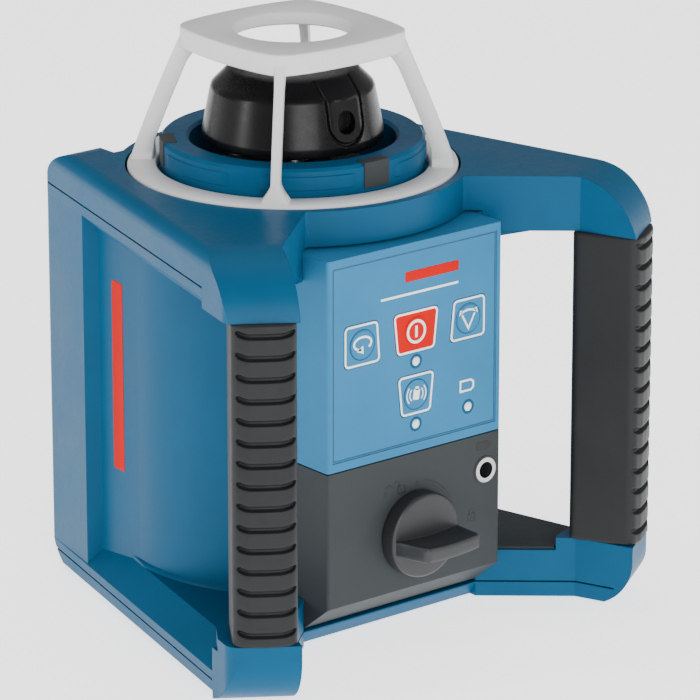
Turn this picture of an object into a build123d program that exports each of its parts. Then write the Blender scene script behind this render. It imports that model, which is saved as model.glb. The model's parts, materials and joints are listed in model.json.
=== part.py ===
"""Rotating laser level: a self-levelling rotor in a guarded drum with two open handles.

Millimetres, +Z up, front towards -Y. The origin is on the rotor's axis, on the surface it stands on.
"""

from build123d import *
import os
from math import cos, radians, sin, sqrt

os.makedirs("parts", exist_ok=True)

# ---- Driving dimensions ----------------------------------------------------------------------
total_height = 190.0
wall = 2.8                      # moulded shell thickness
fit_gap = 0.05                  # radial clearance of running fits
drum_radius = 57.0

# Heights of the shells, from the ground up
base_bottom = 1.6
base_floor_top = 4.0
lower_seam = 7.0
seal_thickness = 0.5            # the seams stay open by a flat seal
seal_inset = 1.2
deck_top = 17.7
deck_chamfer = 8.0
foot_top = 19.0                 # the drum flares out below this height
foot_flare = 1.3
upper_flange_bottom = 124.0
flange_undercut = 6.0
upper_seam = 133.0
cover_top = 145.0
rear_rounding = 18.0

# Plan of the shells: straight sides that spread forwards into the handles
side_half_width = 66.8          # half width of the covers at the rotor's axis
side_spread = 0.245             # growth of the half width per millimetre forwards
rear_y = 68.0
notch_half_width = 34.0         # the back is cut in to the drum between its two corners
notch_bottom = 117.0            # down to this height
nose_inner = (68.8, -90.2)      # front corners of a handle, inner then outer
nose_outer = (87.5, -77.5)
arm_knee = (61.0, -71.0)        # the arm's inner wall bends here
arm_root = (33.0, -47.4)        # and meets the drum here
arm_bottom = 126.7              # underside of the upper arms
upper_seam_ends = [(36.5, -50.6), (82.5, -59.0)]    # the seams stop at a line across each handle
lower_seam_ends = [(66.5, -84.0), (84.5, -64.0)]
cavity_front = -56.0            # the hollow of the covers starts here
top_nose_rounding = 24.0
bottom_nose_rounding = 17.0
corner_rounding = 5.5           # upright corners of the covers
edge_rounding = 5.0             # their long top edges
side_wall_front = (56.2, 9.4)   # the drum runs into the flat side wall
side_wall_back = (53.5, 34.0)
recess_end = 36.5               # behind this plane the side wall is flush with the covers

base_screw_places = [(x * side, y) for x, y in ((58, -30), (51, 20), (47, 42)) for side in (-1, 1)]
boss_radius = 4.0
boss_rib_length = 10.0          # ribs tie the rear bosses to the side walls
boss_rib_width = 3.0
screw_head_radius = 3.0
foot_places = [(-28, 42), (28, 42)]
foot_radius = 6.0

# Grips
grip_bottom = 22.0
grip_back = [(76.5, -61.8), (57.0, -69.0)]
core_inset = 4.5
slot_count = 15
slot_pitch = 6.92
first_slot = 26.1
slot_height = 1.7
slot_depth = 1.8
pad_margin = 1.0                # arm pad, in from the arm's inner wall
lug_width = 4.0                 # the handle end rises round the grip's foot
pad_front = -82.0
pad_length = 70.0
pad_thickness = 0.8

# Front: keypad housing above the battery block
front_y = -61.9
front_half_width = 35.8
panel_bottom = 62.9
panel_top = 132.7
panel_wall = 2.0
foil_edge = 2.0                 # bezel seen around the foil
foil_recess = 0.3
foil_thickness = 0.8
key_gap = 0.3
window_half_width = 36.1
window_back = -38.0             # the drum is open in front of this plane

# Battery block and bay
block_top = 62.5
block_rear_y = 13.0
block_floor = 20.8
block_step_y = -41.0
block_skirt_bottom = 7.8
block_chin = 17.2
block_chin_y = -49.9
block_rear_half_width = 35.5
block_wall = 1.8
bay_front_y = -39.0
bay_wall = 1.3
bay_half_width = 35.9           # inside
cell_radius = 17.1
cell_length = 61.5
cell_x = 17.25
cell_z = 40.0
cell_front_y = -51.5
knob_z = 36.0
knob_radius = 14.0
knob_shaft_radius = 4.0
socket_x = 29.5
socket_z = 50.2

# Rotor, gimbal and laser
tilt_z = 125.0                  # both tilt axes cross the rotor's axis here
head_base_z = 154.0
head_top_z = 177.5
shaft_radius = 6.0
motor_x = -21.0
motor_radius = 7.0
motor_bottom = 108.0
motor_top = 146.0
pulley_bottom = 149.0
pulley_top = 152.6
rotor_pulley_radius = 12.0
motor_pulley_radius = 4.0
gimbal_inner = 34.0
gimbal_outer = 40.0
chassis_inner = 43.5
chassis_outer = 51.0
pin_radius = 2.0

# Guard cage and collar
ledge_top = 140.4
ring_bottom = 142.8
ring_top = 145.8
ring_outer = 53.4
ring_inner = 44.0
post_foot_radius = 49.7
post_head_radius = 33.0
post_depth = 6.5
post_width = 4.0
cage_rim = 7.0
cage_hole_radius = 18.7
screw_circle = 49.9
screw_radius = 1.3
ledge_inner = 45.0
collar_outer = 42.7
collar_inner = 33.4
collar_top = 154.7

# Tripod threads, 5/8-11: wall radius and depth of the thread, and the inserts that hold them
insert_radius = 11.0
thread_radius = 6.75
thread_depth = 17.0
back_thread_z = 70.0


def save(builder, name):
    """Label a finished piece and write its file."""
    builder.part.label = name
    export_step(builder.part, f"parts/{name}.step")


def side_x(y):
    """Half width of the covers at the plane y."""
    return side_half_width - side_spread * y


def both_sides(points):
    """A closed outline from its right-hand points, front to back."""
    return points + [(-x, y) for x, y in reversed(points)]


def handle_plane(z):
    """Upright plane through the middle of the right handle's front face: x outwards, y up."""
    (x1, y1), (x2, y2) = nose_inner, nose_outer
    along = Vector(x1 - x2, y1 - y2, 0).normalized()
    outward = along.cross(Vector(0, 0, -1))
    return Plane(origin=((x1 + x2) / 2, (y1 + y2) / 2, z), x_dir=outward, z_dir=along)


def side_plane(z):
    """Upright plane across the right side of the shells at the back: x outwards, y up."""
    along = Vector(nose_outer[0] - side_x(rear_y), nose_outer[1] - rear_y, 0).normalized()
    return Plane(origin=(side_x(rear_y), rear_y, z), x_dir=(-along.Y, along.X, 0), z_dir=along)


cover_bottom = upper_seam + seal_thickness
cage_screw_places = [
    (screw_circle * cos(radians(post + side)), screw_circle * sin(radians(post + side)))
    for post in (45, 135, 225, 315) for side in (-15, 15)
]

# ---- Shared outlines -------------------------------------------------------------------------
notch_back = sqrt(drum_radius**2 - notch_half_width**2)
base_points = [arm_root, arm_knee, nose_inner, nose_outer, (side_x(rear_y), rear_y)]
cover_points = base_points + [(notch_half_width, rear_y), (notch_half_width, notch_back)]


def shell_plan(points):
    """An outline of the shells with its upright corners rounded."""
    with BuildSketch() as plan:
        with BuildLine():
            Polyline(*both_sides(points), close=True)
        make_face()
        fillet(plan.vertices().filter_by(lambda v: v.Y > rear_y - 1), corner_rounding)
        fillet(plan.vertices().filter_by(lambda v: abs(v.X) > nose_outer[0] - 1), corner_rounding)
    return plan.sketch


base_plan = shell_plan(base_points)
cover_plan = shell_plan(cover_points)

wall_points = [side_wall_front, side_wall_back, (side_x(recess_end), recess_end), (side_x(rear_y), rear_y)]
with BuildSketch() as barrel_plan:
    Circle(drum_radius)
    with BuildLine():
        Polyline(*both_sides(wall_points), close=True)
    make_face()
    fillet(barrel_plan.vertices().filter_by(lambda v: v.Y > rear_y - 1), corner_rounding)

with BuildSketch() as barrel_bore:
    add(barrel_plan.sketch)
    offset(amount=-wall, kind=Kind.INTERSECTION, mode=Mode.REPLACE)


def inner_plan(shell, inset):
    """The hollow inside a shell, clear of the handle ends and of the rounded back."""
    with BuildSketch() as plan:
        add(shell)
        offset(amount=-inset, kind=Kind.INTERSECTION, mode=Mode.REPLACE)
        with Locations((0, cavity_front)):
            Rectangle(
                300, rear_y - rear_rounding - cavity_front,
                align=(Align.CENTER, Align.MIN), mode=Mode.INTERSECT,
            )
    return plan.sketch


def front_zone(seam_ends):
    """Everything in front of a line across both handles."""
    outer_y = seam_ends[1][1]
    with BuildSketch() as zone:
        with BuildLine():
            Polyline(*both_sides(seam_ends + [(150, outer_y), (150, -150)]), close=True)
        make_face()
    return zone.sketch


upper_front = front_zone(upper_seam_ends)
lower_front = front_zone(lower_seam_ends)


cover_bore = inner_plan(cover_plan, wall)
base_bore = inner_plan(base_plan, wall)
deck_bore = inner_plan(base_plan, deck_chamfer + 1.5)

with BuildSketch() as notch_plan:
    with Locations((0, drum_radius)):
        Rectangle(2 * notch_half_width, 2 * drum_radius)
    Circle(drum_radius, mode=Mode.SUBTRACT)

with BuildSketch() as upper_bore:
    add(barrel_bore.sketch)
    with Locations((0, drum_radius)):
        Rectangle(2 * (notch_half_width + wall), 2 * drum_radius, mode=Mode.SUBTRACT)
    with Locations((0, rear_y - rear_rounding)):
        Rectangle(300, 300, align=(Align.CENTER, Align.MAX), mode=Mode.INTERSECT)
    Circle(drum_radius - wall)

with BuildSketch() as grip_plan:
    with BuildLine():
        ThreePointArc(nose_inner, (79.6, -86.2), nose_outer)
        Polyline(nose_outer, *grip_back, nose_inner)
    make_face()
    fillet(grip_plan.vertices(), 2.5)
    offset(amount=-0.8, mode=Mode.REPLACE)

with BuildSketch() as core_plan:
    add(grip_plan.sketch)
    offset(amount=-core_inset, mode=Mode.REPLACE)

with BuildSketch() as lug_plan:
    add(grip_plan.sketch)
    offset(amount=lug_width, mode=Mode.REPLACE)
    add(base_plan, mode=Mode.INTERSECT)

# Tools that round the long edges at the back and the ends of the handles
with BuildPart() as rear_top_cutter:
    with BuildSketch(Plane.YZ.shift_origin((0, rear_y, cover_top))):
        Rectangle(rear_rounding, rear_rounding, align=(Align.MAX, Align.MAX))
        with Locations((-rear_rounding, -rear_rounding)):
            Circle(rear_rounding, mode=Mode.SUBTRACT)
    extrude(amount=60, both=True)
    Box(2 * notch_half_width - 1, 300, 600, mode=Mode.SUBTRACT)

with BuildPart() as rear_bottom_cutter:
    with BuildSketch(Plane.YZ.shift_origin((0, rear_y, base_bottom))):
        Rectangle(rear_rounding, rear_rounding, align=(Align.MAX, Align.MIN))
        with Locations((-rear_rounding, rear_rounding)):
            Circle(rear_rounding, mode=Mode.SUBTRACT)
    extrude(amount=60, both=True)

with BuildPart() as deck_side_cutter:
    with BuildSketch(side_plane(deck_top)):
        with BuildLine():
            Polyline(
                (-deck_chamfer, 0), (0, -deck_chamfer), (5, -deck_chamfer), (5, 5), (-deck_chamfer, 5), close=True
            )
        make_face()
    extrude(amount=220)
    extrude(deck_side_cutter.faces().sort_by(Axis.Y)[-1], amount=10)
    mirror(about=Plane.YZ)

with BuildPart() as flange_side_cutter:
    with BuildSketch(side_plane(upper_flange_bottom)):
        with BuildLine():
            Polyline((-flange_undercut, 0), (0, flange_undercut), (5, flange_undercut), (5, -5), close=True)
        make_face()
    extrude(amount=220)
    extrude(flange_side_cutter.faces().sort_by(Axis.Y)[-1], amount=10)
    mirror(about=Plane.YZ)

with BuildPart() as nose_top_cutter:
    with BuildSketch(handle_plane(cover_top)):
        Rectangle(top_nose_rounding, top_nose_rounding, align=(Align.MAX, Align.MAX))
        with Locations((-top_nose_rounding, -top_nose_rounding)):
            Circle(top_nose_rounding, mode=Mode.SUBTRACT)
    extrude(amount=25, both=True)
    mirror(about=Plane.YZ)

with BuildPart() as nose_bottom_cutter:
    with BuildSketch(handle_plane(0)):
        Rectangle(bottom_nose_rounding, bottom_nose_rounding, align=(Align.MAX, Align.MIN))
        with Locations((-bottom_nose_rounding, bottom_nose_rounding)):
            Circle(bottom_nose_rounding, mode=Mode.SUBTRACT)
    extrude(amount=25, both=True)
    mirror(about=Plane.YZ)


def outer_edges(edges):
    """Edges that lie along the spreading sides."""
    return edges.filter_by(lambda e: abs(abs(e.center().X) - side_x(e.center().Y)) < 1.5 and e.length > 60)


# ---- Top cover -------------------------------------------------------------------------------
with BuildPart() as top_cover:
    with BuildSketch(Plane.XY.offset(cover_bottom)):
        add(cover_plan)
    extrude(amount=cover_top - cover_bottom)
    fillet(outer_edges(top_cover.edges().group_by(Axis.Z)[-1]), edge_rounding)
    with BuildSketch(Plane.XY.offset(arm_bottom)):
        add(cover_plan)
        add(upper_front, mode=Mode.INTERSECT)
    extrude(amount=cover_bottom - arm_bottom)
    with BuildSketch(Plane.XY.offset(cover_bottom)):
        Circle(drum_radius)
    extrude(amount=cover_top - cover_bottom)
    with BuildSketch(Plane.XY.offset(cover_bottom)):
        add(cover_bore)
        Circle(drum_radius - wall)
    extrude(amount=cover_top - cover_bottom - wall, mode=Mode.SUBTRACT)
    with BuildSketch(Plane.XY.offset(ledge_top - wall)):
        Circle(drum_radius - 1)
    extrude(amount=wall)
    with BuildSketch(Plane.XY.offset(ledge_top)):
        Circle(ring_outer + 0.8)
    extrude(amount=cover_top - ledge_top, mode=Mode.SUBTRACT)
    with BuildSketch(Plane.XY.offset(cover_bottom)):
        Circle(ledge_inner)
    extrude(amount=cover_top, mode=Mode.SUBTRACT)
    with BuildSketch(Plane.XY.offset(ledge_top - wall)):
        with Locations(*cage_screw_places):
            Circle(screw_radius)
    extrude(amount=wall, mode=Mode.SUBTRACT)
    add(nose_top_cutter.part, mode=Mode.SUBTRACT)
    add(rear_top_cutter.part, mode=Mode.SUBTRACT)
save(top_cover, "top_cover")

# ---- Body shell ------------------------------------------------------------------------------
with BuildPart() as upper_flange:
    with BuildSketch(Plane.XY.offset(upper_flange_bottom)):
        add(cover_plan)
        add(upper_front, mode=Mode.SUBTRACT)
    extrude(amount=upper_seam - upper_flange_bottom)
    add(flange_side_cutter.part, mode=Mode.SUBTRACT)

with BuildPart() as drum_foot:
    with BuildSketch(Plane.XZ):
        with BuildLine():
            RadiusArc((drum_radius, foot_top), (drum_radius + foot_flare, deck_top), foot_flare * 1.6)
            Polyline(
                (drum_radius + foot_flare, deck_top), (0, deck_top), (0, foot_top), (drum_radius, foot_top)
            )
        make_face()
    revolve(axis=Axis.Z)
    with BuildSketch(Plane.XY.offset(deck_top)):
        add(base_plan)
        offset(amount=-deck_chamfer, kind=Kind.INTERSECTION, mode=Mode.REPLACE)
    extrude(amount=foot_top - deck_top, mode=Mode.INTERSECT)

with BuildPart() as body_shell:
    with BuildSketch(Plane.XY.offset(lower_seam)):
        add(base_plan)
    extrude(amount=deck_top - lower_seam)
    add(deck_side_cutter.part, mode=Mode.SUBTRACT)
    with BuildSketch(Plane.XY.offset(lower_seam)):
        add(barrel_plan.sketch)
    extrude(amount=upper_seam - lower_seam)
    add(drum_foot.part)
    add(upper_flange.part)
    with BuildSketch(Plane.XY):
        add(base_plan)
        add(lower_front, mode=Mode.INTERSECT)
    extrude(amount=deck_top)
    with BuildSketch(Plane.XY.offset(deck_top)):
        add(lug_plan.sketch)
        mirror(about=Plane.YZ)
    extrude(amount=grip_bottom - deck_top)
    with BuildSketch(Plane.XY.offset(lower_seam)):
        add(deck_bore)
    extrude(amount=deck_top - lower_seam - wall, mode=Mode.SUBTRACT)
    with BuildSketch(Plane.XY.offset(notch_bottom)):
        add(notch_plan.sketch)
    extrude(amount=upper_seam, mode=Mode.SUBTRACT)
    with BuildSketch(Plane.XY.offset(rear_rounding + wall)):
        add(barrel_bore.sketch)
    extrude(amount=notch_bottom - wall - rear_rounding - wall, mode=Mode.SUBTRACT)
    with BuildSketch(Plane.XY.offset(lower_seam)):
        add(upper_bore.sketch)
    extrude(amount=upper_seam - lower_seam, mode=Mode.SUBTRACT)
    with BuildSketch(Plane.XY.offset(lower_seam)):
        with Locations((0, window_back)):
            Rectangle(2 * window_half_width, 60, align=(Align.CENTER, Align.MAX))
    extrude(amount=upper_seam - lower_seam, mode=Mode.SUBTRACT)
    add(nose_bottom_cutter.part, mode=Mode.SUBTRACT)
    add(rear_top_cutter.part, mode=Mode.SUBTRACT)
    add(rear_bottom_cutter.part, mode=Mode.SUBTRACT)
    with Locations(Plane(origin=(0, rear_y, back_thread_z), z_dir=(0, 1, 0))):
        Cylinder(insert_radius, 20, mode=Mode.SUBTRACT)
    with BuildSketch(Plane.XY.offset(base_floor_top)):
        with Locations(*base_screw_places):
            Circle(boss_radius)
    extrude(amount=deck_top - wall - base_floor_top)
    with BuildSketch(Plane.XY.offset(lower_seam + 1)):
        with Locations((50.5, 42), (-50.5, 42)):
            Rectangle(boss_rib_length, boss_rib_width)
    extrude(amount=deck_top - wall - lower_seam - 1)
    with BuildSketch(Plane.XY.offset(base_floor_top)):
        with Locations(*base_screw_places):
            Circle(screw_radius)
    extrude(amount=deck_top - wall - base_floor_top, mode=Mode.SUBTRACT)
save(body_shell, "body_shell")

# ---- Seals, base, screws and feet ------------------------------------------------------------
with BuildSketch() as top_seal_hole:
    add(cover_bore)
    Circle(drum_radius - wall)

for name, bottom, shell, hole, seal_front in (
    ("top_seal", upper_seam, cover_plan, top_seal_hole.sketch, upper_seam_ends[0][1] + 1),
    ("base_seal", lower_seam - seal_thickness, base_plan, base_bore, cavity_front),
):
    with BuildPart() as seal:
        with BuildSketch(Plane.XY.offset(bottom)):
            add(shell)
            offset(amount=-seal_inset, kind=Kind.INTERSECTION, mode=Mode.REPLACE)
            if name == "top_seal":
                Circle(drum_radius - seal_inset)
            add(hole, mode=Mode.SUBTRACT)
            with Locations((0, seal_front)):
                Rectangle(
                    300, rear_y - rear_rounding - seal_front,
                    align=(Align.CENTER, Align.MIN), mode=Mode.INTERSECT,
                )
            with Locations((0, window_back)):
                Rectangle(2 * window_half_width + 6, 60, align=(Align.CENTER, Align.MAX), mode=Mode.SUBTRACT)
        extrude(amount=seal_thickness)
    save(seal, name)

with BuildPart() as base_shell:
    with BuildSketch(Plane.XY.offset(base_bottom)):
        add(base_plan)
        add(lower_front, mode=Mode.SUBTRACT)
        with Locations((0, block_chin_y)):
            Rectangle(2 * window_half_width, 20, align=(Align.CENTER, Align.MIN))
    extrude(amount=lower_seam - seal_thickness - base_bottom)
    chamfer(outer_edges(base_shell.edges().group_by(Axis.Z)[0]), 1.5)
    with BuildSketch(Plane.XY.offset(base_floor_top)):
        add(base_bore)
    extrude(amount=lower_seam, mode=Mode.SUBTRACT)
    with BuildSketch(Plane.YZ):
        with BuildLine():
            Polyline(
                (block_chin_y, base_bottom), (block_chin_y + wall, base_bottom),
                (block_chin_y, lower_seam - 1), close=True,
            )
        make_face()
    extrude(amount=window_half_width, both=True, mode=Mode.SUBTRACT)
    add(rear_bottom_cutter.part, mode=Mode.SUBTRACT)
    add(nose_bottom_cutter.part, mode=Mode.SUBTRACT)
    with BuildSketch(Plane.XY.offset(base_bottom)):
        Circle(insert_radius)
        with Locations(*base_screw_places):
            Circle(screw_head_radius)
    extrude(amount=wall, mode=Mode.SUBTRACT)
    with BuildSketch(Plane.XY.offset(base_bottom)):
        with Locations(*foot_places):
            Circle(foot_radius)
    extrude(amount=1.2, mode=Mode.SUBTRACT)
save(base_shell, "base_shell")

with BuildPart() as base_screws:
    with BuildSketch(Plane.XY.offset(base_bottom + 0.4)):
        with Locations(*base_screw_places):
            Circle(screw_head_radius)
    extrude(amount=base_floor_top - base_bottom - 0.4)
    with BuildSketch(Plane.XY.offset(base_floor_top)):
        with Locations(*base_screw_places):
            Circle(screw_radius)
    extrude(amount=deck_top - wall - base_floor_top)
save(base_screws, "base_screws")

with BuildPart() as rubber_feet:
    with BuildSketch():
        with Locations(*foot_places):
            Circle(foot_radius)
    extrude(amount=base_bottom + 1.2)
save(rubber_feet, "rubber_feet")

with BuildPart() as tripod_insert_bottom:
    Cylinder(insert_radius, thread_depth, align=(Align.CENTER, Align.CENTER, Align.MIN))
    with Locations((0, 0, base_floor_top)):
        Cylinder(insert_radius + 5, wall, align=(Align.CENTER, Align.CENTER, Align.MIN))
    Cylinder(thread_radius, thread_depth, align=(Align.CENTER, Align.CENTER, Align.MIN), mode=Mode.SUBTRACT)
save(tripod_insert_bottom, "tripod_insert_bottom")

with BuildPart(Plane(origin=(0, rear_y, back_thread_z), z_dir=(0, -1, 0))) as tripod_insert_back:
    Cylinder(insert_radius, thread_depth, align=(Align.CENTER, Align.CENTER, Align.MIN))
    Cylinder(thread_radius, thread_depth, align=(Align.CENTER, Align.CENTER, Align.MIN), mode=Mode.SUBTRACT)
save(tripod_insert_back, "tripod_insert_back")

# ---- Handles ---------------------------------------------------------------------------------
with BuildPart() as grip_right:
    with BuildSketch(Plane.XY.offset(grip_bottom)):
        add(grip_plan.sketch)
        add(core_plan.sketch, mode=Mode.SUBTRACT)
    extrude(amount=arm_bottom - grip_bottom)
    with BuildSketch(handle_plane(first_slot)):
        with Locations(*[(-slot_depth, slot_pitch * i) for i in range(slot_count)]):
            Rectangle(6, slot_height, align=(Align.MIN, Align.CENTER))
    extrude(amount=9.0, both=True, mode=Mode.SUBTRACT)

with BuildPart() as handle_core_right:
    with BuildSketch(Plane.XY.offset(grip_bottom)):
        add(core_plan.sketch)
    extrude(amount=arm_bottom - grip_bottom)

with BuildSketch() as pad_notch:
    add(lug_plan.sketch)
    offset(amount=0.5, mode=Mode.REPLACE)

with BuildPart() as arm_pad:
    with BuildSketch(Plane.XY.offset(deck_top)):
        add(base_plan)
        offset(amount=-pad_margin, kind=Kind.INTERSECTION, mode=Mode.REPLACE)
        with Locations((window_half_width + 0.3, pad_front)):
            Rectangle(120, pad_length, align=(Align.MIN, Align.MIN), mode=Mode.INTERSECT)
        Circle(drum_radius + foot_flare + 0.5, mode=Mode.SUBTRACT)
        add(pad_notch.sketch, mode=Mode.SUBTRACT)
    extrude(amount=pad_thickness)
    add(deck_side_cutter.part, mode=Mode.SUBTRACT)
save(arm_pad, "arm_pad")

for piece, name in ((grip_right, "grip"), (handle_core_right, "handle_core")):
    save(piece, f"{name}_right")
    with BuildPart() as left_piece:
        add(piece.part)
        mirror(about=Plane.YZ, mode=Mode.REPLACE)
    save(left_piece, f"{name}_left")

# ---- Keypad housing --------------------------------------------------------------------------
face_plane = Plane.XZ.offset(-front_y)
foil_half_width = front_half_width - foil_edge
foil_bottom = panel_bottom + foil_edge + 0.9
foil_top = panel_top - foil_edge - 0.6
key_row_z = 103.0
key_outlines = {
    "rotation_key": [(-28.7, 96.2), (-14.3, 96.2), (-15.3, 109.8), (-28.7, 109.8)],
    "power_key": [(-7.3, 96.2), (8.1, 96.2), (9.6, 109.8), (-8.8, 109.8)],
    "line_key": [(14.6, 96.2), (29.0, 96.2), (29.0, 109.8), (16.0, 109.8)],
    "vibration_key": [(-5.5, 75.4), (6.5, 75.4), (7.9, 88.6), (-6.9, 88.6)],
}
key_corner = 1.4
key_back_y = -59.75
lens_places = [(0.5, 93.0), (0.5, 72.0), (22.3, 73.2)]
lens_radius = 1.5
switch_radius = 2.5
board_front_y = -58.3
board_thickness = 1.6


def key_sketch(name, grow):
    """A key's outline as seen from the front, grown by a margin."""
    with BuildSketch() as outline:
        with BuildLine():
            Polyline(*key_outlines[name], close=True)
        make_face()
        fillet(outline.vertices(), key_corner)
        if grow:
            offset(amount=grow, mode=Mode.REPLACE)
    return outline.sketch


foil_depth = foil_recess + foil_thickness
with BuildPart() as control_panel:
    with BuildSketch(face_plane):
        with Locations((0, (panel_bottom + panel_top) / 2)):
            Rectangle(2 * front_half_width, panel_top - panel_bottom)
    extrude(amount=front_y - bay_front_y + 0.5)
    fillet(control_panel.edges().filter_by(Axis.Z).group_by(Axis.Y)[0], 1.0)
    with BuildSketch(face_plane.offset(-foil_depth - 1.6)):
        with Locations((0, (panel_bottom + panel_top) / 2)):
            Rectangle(2 * foil_half_width, panel_top - panel_bottom - 2 * panel_wall)
    extrude(amount=-40, mode=Mode.SUBTRACT)
    with BuildSketch(face_plane):
        with Locations((0, (foil_bottom + foil_top) / 2)):
            Rectangle(2 * foil_half_width, foil_top - foil_bottom)
    extrude(amount=-foil_depth, mode=Mode.SUBTRACT)
    with BuildSketch(face_plane):
        for name in key_outlines:
            add(key_sketch(name, key_gap))
    extrude(amount=-5, mode=Mode.SUBTRACT)
    with BuildSketch(face_plane):
        with Locations(*lens_places):
            Circle(lens_radius)
    extrude(amount=-5, mode=Mode.SUBTRACT)
    with BuildSketch(Plane.XY.offset(panel_bottom)):
        Circle(chassis_outer + 1.5)
    extrude(amount=panel_top, mode=Mode.SUBTRACT)
save(control_panel, "control_panel")

with BuildPart() as keypad_foil:
    with BuildSketch(face_plane.offset(-foil_recess)):
        with Locations((0, (foil_bottom + foil_top) / 2)):
            Rectangle(2 * foil_half_width, foil_top - foil_bottom)
        with Locations(*lens_places):
            Circle(lens_radius, mode=Mode.SUBTRACT)
    extrude(amount=-foil_thickness)
    with BuildSketch(face_plane):
        for name in key_outlines:
            add(key_sketch(name, key_gap))
    extrude(amount=-5, mode=Mode.SUBTRACT)
save(keypad_foil, "keypad_foil")

for name in key_outlines:
    with BuildPart() as key:
        with BuildSketch(face_plane.offset(-0.2)):
            add(key_sketch(name, 0))
        extrude(amount=-(key_back_y - front_y - 0.2))
        key_middle = key.faces().sort_by(Axis.Y)[0].center()
        with BuildSketch(face_plane.offset(-0.2)):
            with Locations((key_middle.X, key_middle.Z)):
                Circle(4.6)
        extrude(amount=0.2)
    save(key, name)

with BuildPart() as indicator_lenses:
    with BuildSketch(face_plane.offset(-0.2)):
        with Locations(*lens_places):
            Circle(lens_radius)
    extrude(amount=-(board_front_y - front_y - 0.2))
save(indicator_lenses, "indicator_lenses")

with BuildPart() as switch_domes:
    with BuildSketch(face_plane.offset(front_y - board_front_y)):
        with Locations((-21.6, key_row_z), (0.4, key_row_z), (22.0, key_row_z), (0.5, 82.0)):
            Circle(switch_radius)
    extrude(amount=0.55)
save(switch_domes, "switch_domes")

with BuildPart() as keypad_board:
    with BuildSketch(face_plane.offset(front_y - board_front_y)):
        with Locations((0, (foil_bottom + foil_top) / 2)):
            Rectangle(2 * foil_half_width - 4, foil_top - foil_bottom - 4)
    extrude(amount=-board_thickness)
save(keypad_board, "keypad_board")

# ---- Battery bay and block -------------------------------------------------------------------
with BuildPart() as battery_bay:
    with BuildSketch(Plane.XZ.offset(-bay_front_y)):
        with Locations((0, (block_floor + panel_bottom) / 2)):
            Rectangle(2 * (bay_half_width + bay_wall), panel_bottom - block_floor + 0.8 + 2 * bay_wall)
    extrude(amount=bay_front_y - block_rear_y - 1.3 - bay_wall)
    with BuildSketch(Plane.XZ.offset(-bay_front_y)):
        with Locations((0, (block_floor + panel_bottom) / 2)):
            Rectangle(2 * bay_half_width, panel_bottom - block_floor + 0.8)
    extrude(amount=bay_front_y - block_rear_y - 1.3, mode=Mode.SUBTRACT)
save(battery_bay, "battery_bay")

terminal_places = [(-12, 30), (12, 30)]
contact_radius = 6.0
with BuildPart() as bay_contacts:
    with BuildSketch(Plane.XZ.offset(-block_rear_y - 0.3)):
        with Locations(*terminal_places):
            Circle(2.5)
    extrude(amount=-1.0)
save(bay_contacts, "bay_contacts")

cavity_bottom = block_floor + block_wall
partition_front_y = -54.0
front_cavity_y = front_y + 2.2
lid_back_y = block_rear_y - block_wall
lid_thickness = 1.6
cavity_half_width = 34.5
terminal_radius = 3.0
socket_outer = 4.7
socket_ring_outer = 4.15
socket_bore = 2.75
socket_depth = 7.0
with BuildPart() as battery_block:
    with BuildSketch(Plane.YZ):
        with BuildLine():
            Polyline(
                (front_y, block_top), (front_y, block_chin), (block_chin_y, block_skirt_bottom),
                (block_step_y, block_skirt_bottom), (block_step_y, block_floor),
                (block_rear_y, block_floor), (block_rear_y, block_top), close=True,
            )
        make_face()
    extrude(amount=front_half_width, both=True)
    fillet(battery_block.edges().filter_by(Axis.Z).group_by(Axis.Y)[0], 1.0)
    with BuildSketch(Plane.XY):
        with Locations((0, bay_front_y - 0.5)):
            Rectangle(100, 80, align=(Align.CENTER, Align.MIN))
            Rectangle(2 * block_rear_half_width, 80, align=(Align.CENTER, Align.MIN), mode=Mode.SUBTRACT)
    extrude(amount=block_top, mode=Mode.SUBTRACT)
    for cut_front_y, cut_back_y in ((cell_front_y - 1.0, lid_back_y), (front_cavity_y, partition_front_y)):
        with BuildSketch(Plane.XY.offset(cavity_bottom)):
            with Locations((0, cut_front_y)):
                Rectangle(2 * cavity_half_width, cut_back_y - cut_front_y, align=(Align.CENTER, Align.MIN))
        extrude(amount=block_top, mode=Mode.SUBTRACT)
    with BuildSketch(Plane.XY.offset(block_top - lid_thickness)):
        with Locations((0, front_cavity_y)):
            Rectangle(2 * cavity_half_width, lid_back_y - front_cavity_y, align=(Align.CENTER, Align.MIN))
    extrude(amount=5, mode=Mode.SUBTRACT)
    with BuildSketch(face_plane):
        with Locations((0, knob_z)):
            Circle(knob_shaft_radius + fit_gap)
        with Locations((socket_x, socket_z)):
            Circle(socket_outer)
    extrude(amount=-3, mode=Mode.SUBTRACT)
    with BuildSketch(Plane.XZ.offset(-block_rear_y)):
        with Locations(*terminal_places):
            Circle(terminal_radius)
    extrude(amount=block_wall, mode=Mode.SUBTRACT)
save(battery_block, "battery_block")

with BuildPart() as block_lid:
    with BuildSketch(Plane.XY.offset(block_top - lid_thickness)):
        with Locations((0, front_cavity_y)):
            Rectangle(2 * cavity_half_width, lid_back_y - front_cavity_y, align=(Align.CENTER, Align.MIN))
    extrude(amount=lid_thickness)
save(block_lid, "block_lid")

with BuildPart() as battery_cells:
    with BuildSketch(Plane.XZ.offset(-cell_front_y)):
        with Locations((-cell_x, cell_z), (cell_x, cell_z)):
            Circle(cell_radius)
    extrude(amount=-cell_length)
save(battery_cells, "battery_cells")

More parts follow.
